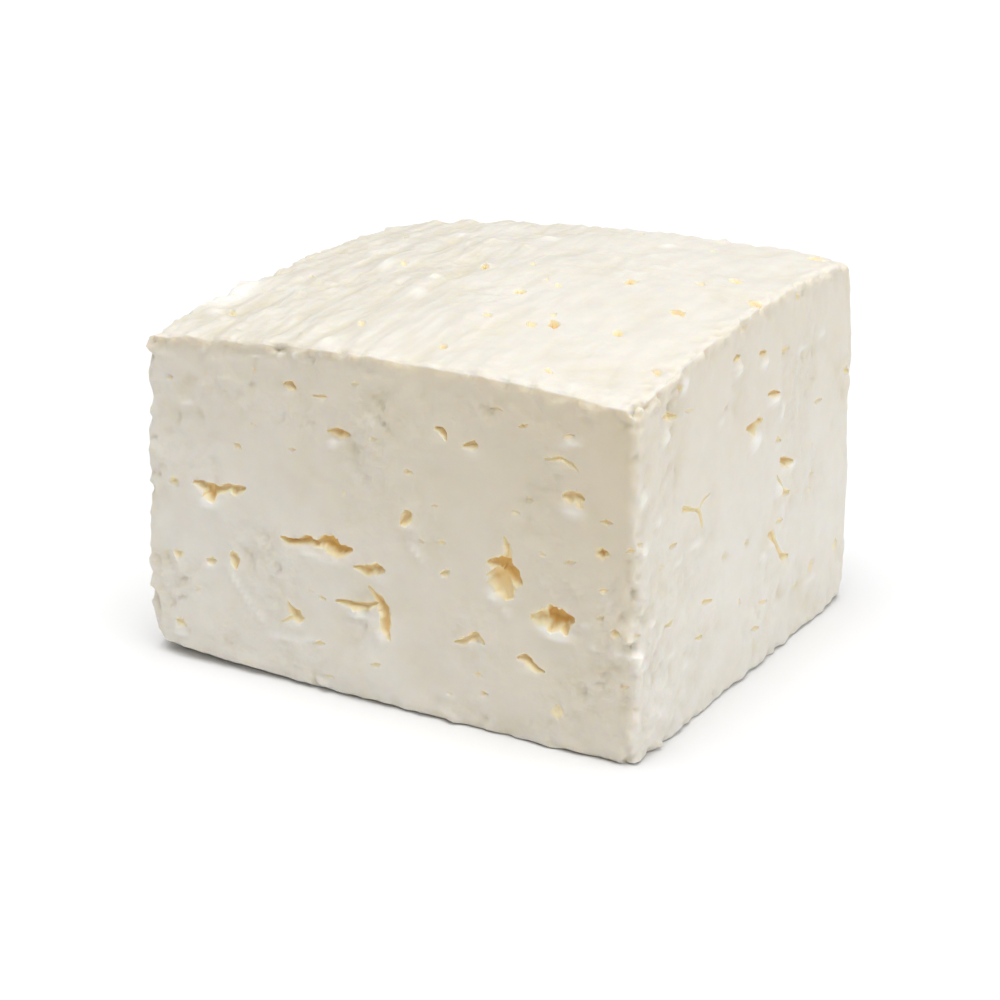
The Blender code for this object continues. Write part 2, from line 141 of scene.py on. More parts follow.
# Single marks on the skin, in millimetres: across, up, long, wide, turn in degrees, height
marks = {
    "front": (
        (18.9, 17.2, 4, 1.3, -58, 0.20), (21.8, 13.9, 4.6, 1.3, -48, 0.16), (24.6, 11.2, 3, 1.2, -45, 0.14),
        (28.2, 8.2, 6, 1.1, 8, 0.14), (33.6, 8.9, 4, 1, 12, 0.10), (26.6, 18.8, 2.2, 2, 0, -0.20),
        (8.9, 48.2, 2.6, 1, 0, 0.14), (5.1, 52.6, 1.6, 1.2, 0, -0.22), (34.9, 38.8, 3.6, 1.6, -40, -0.14),
        (37.8, 37.6, 3, 1.2, -20, -0.12), (13.4, 30.1, 2.6, 1.4, -10, 0.16), (39, 44.3, 2.2, 1, 10, 0.18),
        (28.5, 58.2, 1.4, 1.2, 0, 0.18), (31.6, 58.3, 1.4, 1.1, 0, 0.17), (30, 59.2, 1.8, 0.9, 0, -0.12),
        (12.3, 57.8, 1, 1, 0, 0.18), (23.2, 57.6, 2.4, 0.8, 0, 0.16), (20, 24.9, 3.6, 1, -20, 0.08),
        (46.2, 49.6, 2.2, 1, -30, 0.16), (49, 44, 1.2, 3.4, 20, -0.12), (58.6, 42.6, 2.6, 1.4, -30, -0.12),
        (51.4, 50, 2.6, 1.1, -20, -0.12), (55.6, 28.6, 3.6, 1.2, -50, 0.18), (54, 27, 2.2, 1, 0, -0.16),
        (76, 41.2, 2.8, 1.2, 0, -0.14), (69.6, 37.4, 1.4, 1.2, 0, -0.14), (84.2, 52.4, 4.6, 1.4, 20, 0.16),
        (78.8, 44, 2.6, 1, 0, -0.12), (84.6, 40.9, 3.8, 1.2, 0, 0.16), (80.8, 50.8, 2.8, 0.9, 0, -0.14),
        (81.8, 19.7, 5, 1.3, -4, 0.22), (70.2, 23.9, 2.6, 1.3, -30, 0.20), (72.6, 21.9, 2, 1.4, -50, 0.12),
        (48.6, 12.6, 2.6, 1.6, -60, 0.18), (44, 15.5, 5, 1, -5, 0.14), (35.6, 24.5, 5.5, 1.2, -4, 0.14),
        (7.2, 5, 3, 1.3, -10, 0.18), (13.4, 18.6, 2, 1, 0, 0.14), (94.4, 33, 1.6, 4.4, 0, -0.14),
        (93.8, 26.4, 2.6, 4.6, -20, -0.16), (91, 27.4, 1, 3.6, 30, 0.12), (90.4, 24, 1, 3, 30, -0.14),
        (92.6, 19.4, 4, 1, 10, 0.14), (88.6, 19.8, 1.6, 1.2, 0, 0.16), (89, 16.2, 2.6, 0.9, -10, -0.12),
        (93, 13.8, 3.2, 0.9, 30, -0.14), (87.2, 23, 1.4, 1.4, 0, 0.14), (36.6, 3, 3.2, 0.9, -10, -0.12),
        (62, 4.9, 3.2, 0.8, 10, 0.10), (54.4, 9.2, 1.6, 1.4, 0, -0.10), (74, 8.8, 1.8, 1.4, 0, -0.10),
    ),
    "right": (
        (42.6, 38.8, 3.4, 2.2, 0, 0.40), (49.2, 43.7, 3.6, 1.2, -10, 0.30), (45.2, 50.6, 2.6, 1.3, 0, 0.28),
        (52.2, 28.2, 3, 1.8, -30, 0.34), (57.4, 30.6, 2.4, 1.2, 0, 0.22), (9.8, 51.3, 2.8, 2.2, 0, 0.40),
        (53, 41, 1.6, 3.4, -20, 0.20), (34.2, 52.6, 2, 1.6, 0, 0.20), (29.2, 46.2, 2.4, 1.2, 0, 0.16),
        (31.6, 48, 3, 1.2, 0, -0.22), (34.6, 46.8, 2, 1.6, 0, -0.18), (20, 29.9, 3.6, 0.9, 0, 0.16),
        (26.8, 28.8, 3, 1, -20, -0.14), (32.2, 23.4, 4, 1.8, -10, -0.18), (40, 23.2, 2, 1.4, 0, -0.18),
        (60.8, 49, 3.6, 1.4, 0, 0.20), (65, 46, 3, 1.3, 0, -0.18), (68.8, 50.2, 3.4, 1.2, 0, 0.18),
        (72, 44.4, 3, 1.2, 0, -0.12), (67.2, 26.6, 3, 1.8, -10, -0.16), (71, 14.2, 3, 1.2, -10, -0.12),
        (67.6, 10.6, 3.6, 3, 0, -0.14), (67, 8.2, 4, 1.2, 0, 0.14), (62.2, 8.6, 2.4, 1.8, 0, -0.20),
        (78.6, 10.6, 2.4, 3.4, 0, -0.16), (53.6, 50.4, 2.2, 1.8, 0, -0.18), (75.4, 33, 2.4, 2, 0, -0.14),
        (2.2, 44.8, 2.4, 2, 0, 0.30), (1.4, 38, 3, 1.3, -30, -0.06), (2.6, 36.4, 2.4, 1.2, 0, 0.30),
        (1, 19.4, 2.6, 1.8, 0, 0.34), (2.6, 17, 3, 1.4, -20, 0.26), (1.2, 13.4, 2, 1.6, 0, -0.06),
        (5.2, 23, 2.4, 1, 0, 0.20), (1, 22.8, 2, 1.2, 0, -0.06), (0.6, 8.8, 1.6, 1.4, 0, 0.20),
        (7.2, 39, 2, 1.4, 0, 0.20), (14.4, 29.2, 3, 1, 0, 0.12), (12.8, 14.2, 2.6, 1.4, 0, 0.14),
        (8, 6.6, 4.6, 1.3, -10, 0.16), (15.6, 57, 1.8, 2.4, 0, 0.32), (14, 56.4, 1.4, 2, 0, -0.28),
        (17, 11, 2.4, 1.4, 0, 0.12), (47, 18.4, 3, 1.2, -20, 0.18), (52.6, 8, 3, 1.4, 0, 0.10),
    ),
    "top": (
        (1.5, 23, 7, 16, 0, 0.45), (1.5, 38, 5, 8, 0, -0.25), (38.8, 41.4, 3.4, 5.6, 14, -0.50),
        (36.2, 36.4, 2, 3, 10, 0.26), (35.4, 48.8, 3.4, 2.6, 0, -0.30), (40.6, 46.6, 2.4, 2, 0, 0.24),
        (37.8, 28.4, 3.4, 4.4, 0, 0.22), (22, 43, 2.6, 6, 14, 0.26), (23.6, 63.8, 3.4, 4, 0, -0.30),
        (22.8, 68.6, 4.4, 3, 0, 0.26), (62.2, 63.6, 3.4, 3.4, 0, -0.22), (59.4, 60.6, 1.6, 3, 0, 0.16),
        (66.6, 61.2, 2.6, 2.2, 0, 0.18), (64.6, 71.4, 3.2, 3, 0, 0.30), (41.6, 68.4, 3.6, 2.6, 0, 0.28),
        (36.4, 74.6, 3, 3.4, 0, -0.30), (13.8, 53, 4.4, 4.6, 0, 0.22), (9.2, 30.6, 3, 4, 0, -0.26),
        (12.4, 27, 3, 6, 16, 0.26), (8.8, 12.6, 3, 4.4, 40, -0.30), (5.6, 12.8, 2.6, 4.4, 40, 0.24),
        (20.2, 27.2, 2.4, 3.4, 0, 0.20), (4.4, 23, 3, 3.6, 0, -0.26), (35.8, 2.8, 2.6, 3.2, 0, 0.22),
        (47.2, 36.4, 2.6, 2, 0, 0.16), (50.2, 48.4, 2.2, 2.6, 0, -0.16),
    ),
}

# Openings between the curds. A gap runs along a spine: depth, then across, up and width at each
# point of it, all in millimetres from the face's lower left corner as seen from outside
gaps = {
    "front": (
        (2.4, ((10.2, 33.8, 0.3), (11.6, 33.7, 0.9), (13, 33.3, 1.5), (14.3, 32.8, 2.2), (15.8, 33, 1.1),
            (17.2, 33.7, 1.3), (18.3, 34, 1), (19.3, 33.6, 1.7), (20.4, 33.9, 1.2), (21.4, 34.2, 0.3))),
        (2.6, ((13.4, 33.2, 1.6), (13.9, 32.2, 2), (14.3, 31.5, 1.5), (14.7, 30.7, 0.4))),
        (2.6, ((28.2, 26.5, 0.3), (29.5, 26.1, 1.1), (30.8, 25.9, 1), (32.2, 26.2, 1), (33.3, 26.8, 1.4),
            (34.2, 27, 1.5), (35.2, 26.6, 1.1), (36.3, 26.6, 0.9))),
        (3.2, ((35.8, 26.6, 0.8), (37.2, 27.2, 1.7), (38.4, 27.1, 2.5), (39.6, 26.4, 2.7),
            (40.8, 26.2, 1.8), (42, 26.6, 1.3), (43.2, 26.7, 0.4))),
        (2.2, ((43.2, 24, 0.3), (44.6, 24, 0.9), (45.8, 23.5, 1.8), (46.8, 24.2, 1.4), (47.9, 24.5, 1.9),
            (49.4, 24.2, 0.4))),
        (1.9, ((39.4, 17.1, 0.3), (41.2, 17.1, 0.9), (43.2, 16.8, 1.2), (45, 16.9, 1.2),
            (46.4, 17.5, 0.9), (47.9, 18.2, 0.4))),
        (2.3, ((45.8, 20.9, 0.3), (46.6, 20, 0.8), (47.7, 18.7, 1.5), (48.9, 17.3, 1.7),
            (49.4, 15.8, 1.4), (49.3, 14.4, 1.7), (49.7, 13.4, 0.9), (50.4, 12.2, 0.3))),
        (1.9, ((29.8, 15.2, 0.4), (30.4, 13.9, 1.2), (31.2, 12.9, 1.9), (32.2, 12.5, 1.5),
            (33.2, 12.6, 0.3))),
        (0.6, ((31, 12.7, 1), (29.5, 11.7, 0.9), (28.2, 11, 0.4))),
        (1.5, ((72, 34.5, 0.4), (72.4, 33.2, 1.1), (73, 32, 1.2), (72.5, 30.7, 1.8))),
        (3.4, ((68.8, 29.6, 0.4), (70.4, 29.7, 1.6), (71.8, 29.7, 3), (73, 28.8, 2.8), (74.2, 27.7, 2),
            (75.4, 27, 0.5))),
        (2.3, ((70.2, 28.8, 2.2), (71.2, 27.2, 4), (72.2, 26, 3.4), (72.9, 24, 1.5))),
        (2.2, ((76.8, 21.9, 0.6), (78.4, 22.3, 1.9), (79.8, 22.6, 2.2), (81, 22.9, 3.3))),
        (4, ((79.9, 22.8, 1.8), (80.9, 23, 3.3), (82.2, 22.9, 3), (83.6, 23.1, 2.5), (85.2, 23.3, 0.4))),
        (2.6, ((81.2, 22.8, 2.2), (80.9, 21.6, 1.4), (80.7, 20.5, 0.3))),
        (2.6, ((82.9, 22.8, 2), (83.3, 21.8, 1.5), (83.7, 20.5, 0.4))),
        (1.8, ((74.4, 14.4, 0.3), (75.6, 14.8, 1.3), (76.6, 14.4, 1.4), (77.6, 13.5, 0.9),
            (78.6, 13.2, 0.8), (79.7, 13.2, 0.3))),
        (0.8, ((79.6, 48.8, 0.3), (81, 49.2, 0.7), (82.2, 49.7, 0.8), (83.4, 49.4, 0.6),
            (84.6, 48.7, 0.8), (85.5, 48.2, 0.3))),
        (2.3, ((37.9, 46.4, 0.3), (38.9, 46.4, 0.9), (39.8, 46.2, 1.6), (40.8, 46.3, 1.1),
            (42.3, 46.2, 0.3))),
        (1.7, ((28.6, 53, 0.3), (29.7, 53.3, 1.4), (30.6, 52.9, 1.4), (31.3, 52.4, 0.3))),
        (1.6, ((18.2, 22.3, 0.4), (18.6, 21.3, 1.8), (19.1, 20.3, 1.6), (19.1, 19, 0.4))),
        (0.8, ((34.9, 52, 0.3), (36.3, 51.9, 0.6), (37.1, 52.3, 0.9), (38, 52, 0.3))),
        (1.8, ((58.9, 50, 0.4), (60.1, 50, 1.1), (60.9, 49.3, 1.1), (61.3, 48.3, 0.3))),
        (2, ((64.3, 48, 0.3), (65.3, 48.3, 1), (66.1, 48.6, 1.4), (67.1, 48.4, 0.4))),
        (2, ((53.5, 35.5, 0.5), (53.7, 34.5, 1.9), (53.2, 33.5, 1.6), (52.2, 32.8, 0.4))),
        (1.7, ((62.7, 14.7, 0.3), (64.3, 15.1, 1), (65.8, 16, 1), (66.8, 16.7, 1.6), (67.7, 16.4, 1.1),
            (68.5, 15.5, 0.4))),
        (1.9, ((82.6, 43.4, 0.4), (83.8, 43.5, 1.6), (84.8, 43.8, 1.4), (86, 43.8, 1.2),
            (86.7, 43.5, 0.4))),
        (0.9, ((84.9, 44.2, 1), (85.5, 43.3, 1.6), (86, 42, 0.6))),
    ),
    "right": (
        (2.2, ((38.8, 42.2, 0.4), (40.2, 41.8, 1.2), (41.6, 41.4, 1.7), (43.4, 41.9, 1.2),
            (45.2, 41.7, 0.4))),
        (1.8, ((46.6, 45.4, 0.3), (48, 45.2, 1), (49.6, 44.8, 0.9), (51.5, 44.4, 0.3))),
        (1.6, ((43.4, 52.8, 0.3), (44.8, 52.4, 1.1), (46.4, 52.1, 0.4))),
        (1.6, ((32.6, 54.9, 0.3), (34.2, 54.8, 1), (36, 54.5, 0.3))),
        (2.2, ((52.8, 33.1, 0.6), (54.4, 32.3, 1.5), (56, 31.8, 1.2), (58, 31.4, 0.3))),
        (1.4, ((51.6, 30.7, 0.3), (52.8, 29.2, 0.6), (54.2, 27.6, 0.6), (55.6, 26.6, 1.2),
            (57.7, 26.2, 0.4))),
        (1.8, ((48.8, 21.4, 0.5), (50.4, 21.2, 1.6), (51.2, 20.2, 1), (52.4, 18.4, 0.7),
            (53.8, 16.7, 0.9), (55.4, 15.8, 1.2), (57.2, 15.6, 0.4))),
        (1.2, ((23, 19.3, 0.3), (24.6, 18.9, 0.9), (26.4, 18.5, 0.3))),
        (1, ((21.2, 14, 0.3), (22.6, 13.6, 0.8), (23.9, 13.3, 0.3))),
        (1, ((10.2, 20.4, 0.4), (11.8, 20.3, 1), (13.4, 20.8, 0.3))),
        (1.2, ((15.6, 37.4, 0.4), (17, 37, 1.1), (18.6, 36.3, 0.7), (20.4, 35.5, 0.5), (21.6, 35, 0.7),
            (22.2, 33.6, 0.8), (22.9, 31.7, 0.3))),
        (0.6, ((21.4, 35.2, 0.6), (23.2, 36.2, 0.6), (25.6, 36.3, 0.3))),
        (0.8, ((11.8, 32.8, 0.3), (13, 32.6, 0.9), (14.2, 32.4, 0.3))),
        (1.4, ((8.8, 54.9, 0.4), (10.6, 54.4, 1.3), (12.2, 53.6, 0.9), (13.8, 53, 0.3))),
        (0.9, ((50.8, 36.5, 0.4), (52, 36.6, 1.1), (53.4, 36, 0.3))),
        (0.7, ((52.2, 22.8, 0.4), (53.4, 22.7, 0.9), (54.8, 22.3, 0.3))),
        (0.6, ((66.6, 38.9, 0.3), (68.2, 38.9, 0.8), (70.2, 38.6, 0.3))),
        (0.7, ((42, 7.9, 0.3), (43.4, 7.6, 1.1), (44.9, 7.3, 0.3))),
        (0.5, ((45.4, 11.2, 0.3), (47, 10.9, 0.8), (48.8, 10.6, 0.3))),
        (0.9, ((79, 42, 0.5), (80.6, 41.4, 1.4), (82, 41.2, 0.4))),
    ),
}

# Small single openings: across, up, long, wide, turn in degrees, deep, corners
pits = {
    "front": (
        (6.2, 33.4, 2, 1.8, 20, 1, 4), (13.8, 19.7, 2.2, 1.4, 0, 1, 4), (7, 19.8, 1.8, 1.9, 30, 0.9, 3),
        (7.6, 7, 2.3, 1.8, -30, 0.9, 4), (82.2, 6.8, 2.7, 2.4, 0, 0.6, 4), (19.5, 41.4, 2, 1.3, -20, 1, 4),
        (43.6, 55.1, 1.7, 0.9, 10, 0.5, 4), (22.9, 54.9, 1.2, 1, 0, 0.5, 3),
        (75.6, 53.4, 2.2, 0.8, 25, 0.9, 4), (70.4, 55.1, 2.6, 0.7, 0, 0.5, 4), (90.8, 41, 2.2, 1, 10, 1, 4),
        (95, 37.1, 2.4, 0.9, 12, 0.9, 4), (84, 32.8, 2.4, 0.9, 12, 0.7, 4),
        (53.8, 41.9, 2.2, 1.1, 0, 0.8, 3), (60, 31, 1.8, 1.1, 10, 0.7, 4),
        (60.9, 26.1, 2.2, 1.1, 24, 1.2, 4), (68.3, 6.8, 1.7, 1.2, 0, 0.6, 3),
        (92.5, 22.8, 1.8, 1.3, 20, 1, 3), (95.6, 21, 2, 1.2, 30, 0.6, 3), (36.2, 8.8, 2.6, 1, 10, 0.8, 4),
        (38.2, 3.3, 2.5, 0.7, 0, 0.4, 4), (47.8, 7.6, 2, 0.9, 10, 0.5, 4),
        (36.9, 17.2, 1.7, 0.8, -20, 0.6, 3), (89.7, 35.4, 2.5, 1.9, 10, 2.2, 4),
        (67.2, 9.8, 2.4, 0.9, 0, 0.5, 4), (58.9, 37.1, 1.4, 0.8, 30, 0.4, 4), (74, 38.8, 1.6, 1, 0, 0.5, 3),
        (90.1, 29.5, 1.8, 0.9, 20, 0.6, 4), (83.6, 53.4, 2.6, 0.8, 20, 0.5, 4),
        (30.9, 42.4, 1.6, 0.8, -10, 0.5, 4), (89.8, 24.6, 1.4, 1, 30, 0.5, 3),
        (46.8, 46.2, 1.4, 0.9, 0, 0.5, 3), (76.2, 41.3, 1.5, 0.8, 0, 0.4, 3),
        (5.2, 52.4, 1.3, 1, 0, 0.4, 3), (22.8, 45.6, 1.6, 0.9, 0, 0.4, 3),
        (56.3, 30.6, 1.4, 0.8, 0, 0.5, 3), (41.2, 36.4, 1.2, 0.9, 0, 0.35, 3),
        (34.8, 18, 1.2, 0.8, 0, 0.3, 3), (61.6, 5.2, 1.5, 0.7, 0, 0.3, 3),
        (10.9, 13.8, 1.3, 0.9, 0, 0.3, 3), (93.9, 14, 2, 0.7, 30, 0.5, 3),
        (79.3, 33.2, 1.3, 0.8, 0, 0.4, 3),
    ),
    "right": (
        (67.6, 10.4, 3, 2.4, 0, 0.5, 4), (78.4, 10.6, 2.4, 2.8, 0, 0.8, 4),
        (61.8, 8.7, 2.6, 1.5, 0, 0.6, 4), (39.9, 23.1, 1.7, 1, 0, 0.6, 3),
        (32.3, 23.4, 2.4, 1.2, 0, 0.5, 3), (66.9, 26.9, 2.4, 1.1, -10, 0.6, 3),
        (54.4, 50.5, 2, 1.1, 0, 0.6, 3), (37.8, 14, 2, 1, -15, 0.5, 3), (30.8, 48.2, 2, 0.8, 0, 0.5, 3),
        (17.4, 52.5, 2.8, 0.7, -15, 0.5, 4), (1.2, 37.9, 2.2, 0.9, -25, 0.7, 3),
        (0.8, 22.6, 1.8, 1, 0, 0.6, 3), (65.2, 32.3, 2, 0.8, 0, 0.4, 3), (66, 24.2, 1.8, 0.8, 0, 0.4, 3),
        (9.1, 30.6, 1.4, 0.7, 0, 0.4, 3), (14.2, 57.2, 1.6, 1.8, 0, 0.7, 3),
        (58.2, 58.1, 2.2, 1, 0, 0.6, 3), (37, 58.4, 1.8, 0.9, 0, 0.5, 3),
    ),
    "top": (
        (70.3, 46, 4.2, 2.2, -58, 1.6, 4), (55, 34, 4, 1.9, -55, 1.3, 4), (68.6, 22, 3.8, 1.7, -55, 1.5, 4),
        (65, 20.7, 2.4, 1.6, -40, 0.8, 4), (80.6, 22, 3.6, 1.8, -60, 1.5, 4),
        (85, 34.8, 3.4, 2.4, -20, 1.2, 4), (86.2, 54, 3.4, 2.2, -30, 0.9, 4),
        (94.4, 45.2, 3.6, 2, -40, 1.2, 4), (56.2, 21, 2.6, 1.5, -30, 0.6, 4),
        (55.8, 7.8, 2.4, 1.3, -50, 1.1, 3), (77, 5.3, 2, 1, -30, 0.6, 3), (60, 38.8, 2.4, 1.4, -40, 0.7, 4),
        (41.3, 45.7, 2.8, 1.3, -55, 0.8, 4), (8.8, 13, 4.4, 1.6, -50, 0.6, 4),
        (25, 44.5, 3, 1.4, -55, 0.4, 4), (37, 11.8, 2.8, 1.4, -50, 0.4, 4), (49.6, 48.4, 2, 1, -40, 0.5, 3),
        (92.5, 13, 2, 1.2, -40, 0.5, 3), (82, 49.4, 2.6, 1.4, -30, 0.4, 3), (66.6, 25.4, 2, 1, -50, 0.5, 3),
        (56.4, 41, 1.8, 1, -40, 0.4, 3),
    ),
}

# How an opening between curds is shaped
shape = {
    "shallower": 0.50,  # share of the listed depth that openings in the sides have
    "widen": (0.92, 0.17, 1.40),  # spines get wider by 0.92 + 0.17 * widest, from 1 to 1.4 times
    "smoothing": 3,  # times that a spine's bends are evened out
    "step": {"front": 0.32, "right": 0.32, "top": 0.36},  # between mesh points along an outline
    "hiddenStep": 0.55,
    "tipDepth": (0.3, 0.8),  # share of its depth that a gap has at its tips, and power of the width
    "bendRoom": (0.8, 0.02),  # share of a bend's radius that a gap may fill, and the least bend that counts
    "grain": 1.5,  # length of a curd that bulges into a gap
    "grainBulge": 0.26,  # share of the half width that it takes
    "grainSway": (0.3, 1.3),  # how unevenly such curds are spaced, and how fast that changes
    "corner": (0.24, 0.2, 0.30),  # uneven reach, uneven angle, and how far sides draw in, for a pit
    "lipUpper": 0.24,  # width of the rounded lip above and below the opening
    "lipLower": 0.42,
    "lipDepth": 0.28,
    "lipFlare": 2.2,  # most that a lip opens above the skin
    "lipByWidth": (0.2, 2.2),  # a lip's share at no width, and the width that would add 1
    "lipByDepth": (0.35, 1.5),
    "lipDepthByDepth": (0.4, 1.5),
    "above": (-0.9, -0.1),  # rings of a cutter above the skin
    "narrowing": (0.60, 1.5),  # share of the width that is gone at the bottom, and power of the depth
    "rise": (0.10, 1.3),  # how far the bottom lies above the mouth, in widths, and power of the depth
    "bumps": (0.20, 1.2),  # height and pitch of the uneven walls
    "smoothBelow": 1.4,  # gaps narrower than this have lower bumps
    "smoothMouth": 0.6,  # and down to this depth bumps move none in or out
    "rings": (0.10, 0.28, 0.5, 0.72, 0.88, 1.0),
    "hiddenRings": (0.15, 0.5, 0.85, 1.0),
}


def linearColour(code):
    # Each sRGB channel c becomes c / 12.92 in the darks and ((c + 0.055) / 1.055) ^ 2.4 above them
    channels = [int(code[at:at + 2], 16) / 255 for at in (1, 3, 5)]
    bent = [c / 12.92 if c <= 0.04045 else ((c + 0.055) / 1.055) ** 2.4 for c in channels]
    return (*bent, 1.0)


def latticeRandom(cells, seed):
    # Three even random numbers for each whole lattice point: its x, y, z times large primes, mixed
    mixed = (cells * np.array([73856093, 19349663, 83492791])).sum(-1) + seed * 40503
    parts = []
    for part in (1, 2, 3):
        word = (mixed + part * 668265263) & 0xFFFFFFFF
        word = ((word ^ (word >> 15)) * 739981) & 0xFFFFFFFF
        word = ((word ^ (word >> 12)) * 695521) & 0xFFFFFFFF
        parts.append((word ^ (word >> 15)) / 4294967296.0)
    return np.stack(parts, axis=-1)


def softNoise(points, pitch, seed):
    # Gradient noise, about -1 to 1: a random slope at each lattice point, blended over each cell
    # by 6t^5 - 15t^4 + 10t^3 along every axis
    scaled = points / np.asarray(pitch, float)
    base = np.floor(scaled).astype(np.int64)
    inside = scaled - base
    blend = inside ** 3 * (inside * (inside * 6 - 15) + 10)
    total = np.zeros(len(points))
    for corner in itertools.product((0, 1), repeat=3):
        slope = latticeRandom(base + corner, seed) * 2 - 1
        weight = np.prod(np.where(corner, blend, 1 - blend), axis=-1)
        total += weight * ((inside - corner) * slope).sum(-1)
    return total * 1.7


def curdSeams(points, pitch, seed):
    # One curd centre in each lattice cell; 1 on the seam between two curds, falling to 0 inside them
    scaled = points / pitch
    base = np.floor(scaled).astype(np.int64)
    nearest = np.full(len(points), 9.0)
    second = np.full(len(points), 9.0)
    for step in itertools.product((-1, 0, 1), repeat=3):
        cell = base + step
        distance = np.linalg.norm(cell + latticeRandom(cell, seed) - scaled, axis=-1)
        second = np.minimum(second, np.maximum(nearest, distance))
        nearest = np.minimum(nearest, distance)
    return np.exp(-((second - nearest) / relief["seamWidth"]) ** 2)


half = np.array(block["size"]) / 2


def gridLines(length):
    # Where the mesh lines cross one axis: close rows over each rounded edge, a band of fine ones
    # beside it, and coarser ones in between
    bevel = np.array(block["edgeRows"]) * block["edgeRadius"]
    band = block["edgeBand"]
    fine = np.linspace(bevel[-1], band, round((band - bevel[-1]) / block["edgeCell"]) + 1)
    edge = np.concatenate([bevel, fine[1:]])
    count = round((length - 2 * edge[-1]) / block["cell"])
    inner = np.linspace(edge[-1], length - edge[-1], count + 1)[1:-1]
    return np.concatenate([edge, inner, length - edge[::-1]]) - length / 2


def edgeRadius(points):
    # From the edge radius to the foot's by ((1 - z) / 2)^8, and from there to the left foot's
    # by ((1 - x) / 2)^3
    share = np.clip(points / half, -1, 1)
    toLeft = ((1 - share[:, 0]) / 2) ** 3
    foot = block["footRadius"] + (block["leftFootRadius"] - block["footRadius"]) * toLeft
    return block["edgeRadius"] + (foot - block["edgeRadius"]) * ((1 - share[:, 2]) / 2) ** 8


def roundEdges(points):
    # Each point of the box moves to core + radius * direction away from the core, where the core is
    # the box drawn in by the radius
    radius = edgeRadius(points)[:, None]
    core = np.clip(points, radius - half, half - radius)
    away = points - core
    return core + radius * away / np.maximum(np.linalg.norm(away, axis=1, keepdims=True), 1e-9)


def uprightBlock():
    # Six grids, each a function of two line numbers, welded along the box's edges by line number
    lines = [gridLines(length) for length in block["size"]]
    numbers = []
    quads = []
    start = 0
    for axis in range(3):
        first, second = [other for other in range(3) if other != axis]
        for last in (False, True):
            u, v = np.meshgrid(np.arange(len(lines[first])), np.arange(len(lines[second])), indexing="ij")
            number = np.empty((u.size, 3), int)
            number[:, axis] = len(lines[axis]) - 1 if last else 0
            number[:, first] = u.ravel()
            number[:, second] = v.ravel()
            index = start + np.arange(u.size).reshape(u.shape)
            corners = (index[:-1, :-1], index[1:, :-1], index[1:, 1:], index[:-1, 1:])
            ring = np.stack([corner.ravel() for corner in corners], axis=1)
            turned = last != (axis == 1)  # so that every face looks outwards
            quads.append(ring if turned else ring[:, ::-1])
            numbers.append(number)
            start += u.size
    unique, place = np.unique(np.concatenate(numbers), axis=0, return_inverse=True)
    points = np.stack([lines[axis][unique[:, axis]] for axis in range(3)], axis=1)
    return roundEdges(points), place.reshape(-1)[np.concatenate(quads)]


def meshFromArrays(name, points, faces):
    # Points (n, 3) and faces (m, corners) as a mesh, in one foreach_set each
    mesh = bpy.data.meshes.new(name)
    corners = faces.shape[1]
    mesh.vertices.add(len(points))
    mesh.vertices.foreach_set("co", np.ascontiguousarray(points, np.float32).ravel())
    mesh.loops.add(faces.size)
    mesh.loops.foreach_set("vertex_index", faces.astype(np.int32).ravel())
    mesh.polygons.add(len(faces))
    mesh.polygons.foreach_set("loop_start", np.arange(0, faces.size, corners, dtype=np.int32))
    mesh.update(calc_edges=True)
    mesh.validate()
    return mesh


def faceFrame(face):
    # Lower left corner, across, up and outward directions of a face, and its width and height
    x, y, z = half
    return {
        "front": ((-x, -y, -z), (1, 0, 0), (0, 0, 1), (0, -1, 0), (2 * x, 2 * z)),
        "right": ((x, -y, -z), (0, 1, 0), (0, 0, 1), (1, 0, 0), (2 * y, 2 * z)),
        "back": ((x, y, -z), (-1, 0, 0), (0, 0, 1), (0, 1, 0), (2 * x, 2 * z)),
        "left": ((-x, y, -z), (0, -1, 0), (0, 0, 1), (-1, 0, 0), (2 * y, 2 * z)),
        "top": ((-x, -y, z), (1, 0, 0), (0, 1, 0), (0, 0, 1), (2 * x, 2 * y)),
        "bottom": ((-x, y, -z), (1, 0, 0), (0, -1, 0), (0, 0, -1), (2 * x, 2 * y)),
    }[face]


def lipWidths(upShare, width, deep, face):
    # Lip on each side of an opening: narrow above, where the curd overhangs, wide below, and less for
    # narrow or shallow openings
    below = (1 - upShare) / 2 if face not in ("top", "bottom") else np.full(np.shape(upShare), 0.5)
    (start, fullWidth), (startDeep, fullDepth) = shape["lipByWidth"], shape["lipByDepth"]
    room = np.minimum(1, start + width / fullWidth) * min(1.0, startDeep + deep / fullDepth)
    return (shape["lipUpper"] + (shape["lipLower"] - shape["lipUpper"]) * below ** 2) * room


def lipShare(depth, deep):
    # 1 at the skin, growing outside it and fading by exp(-depth / lipDepth) inside it
    start, fullDepth = shape["lipDepthByDepth"]
    lipDepth = shape["lipDepth"] * min(1.0, start + deep / fullDepth)
    return min(1 - depth / lipDepth, shape["lipFlare"]) if depth < 0 else math.exp(-depth / lipDepth)


def cutterRings(face, deep):
    # For each ring of a cutter: its share of the depth (millimetres above the skin) and its depth, the
    # share of the width that is left there, the share of the rise, and that of the lip
    narrowing, narrowPower = shape["narrowing"]
    risePower = shape["rise"][1]
    for depth in (*shape["above"], *shape["rings" if face in shape["step"] else "hiddenRings"]):
        inner = max(depth, 0)
        true = depth if depth < 0 else depth * deep
        yield depth, true, 1 - narrowing * inner ** narrowPower, inner ** risePower, lipShare(true, deep)


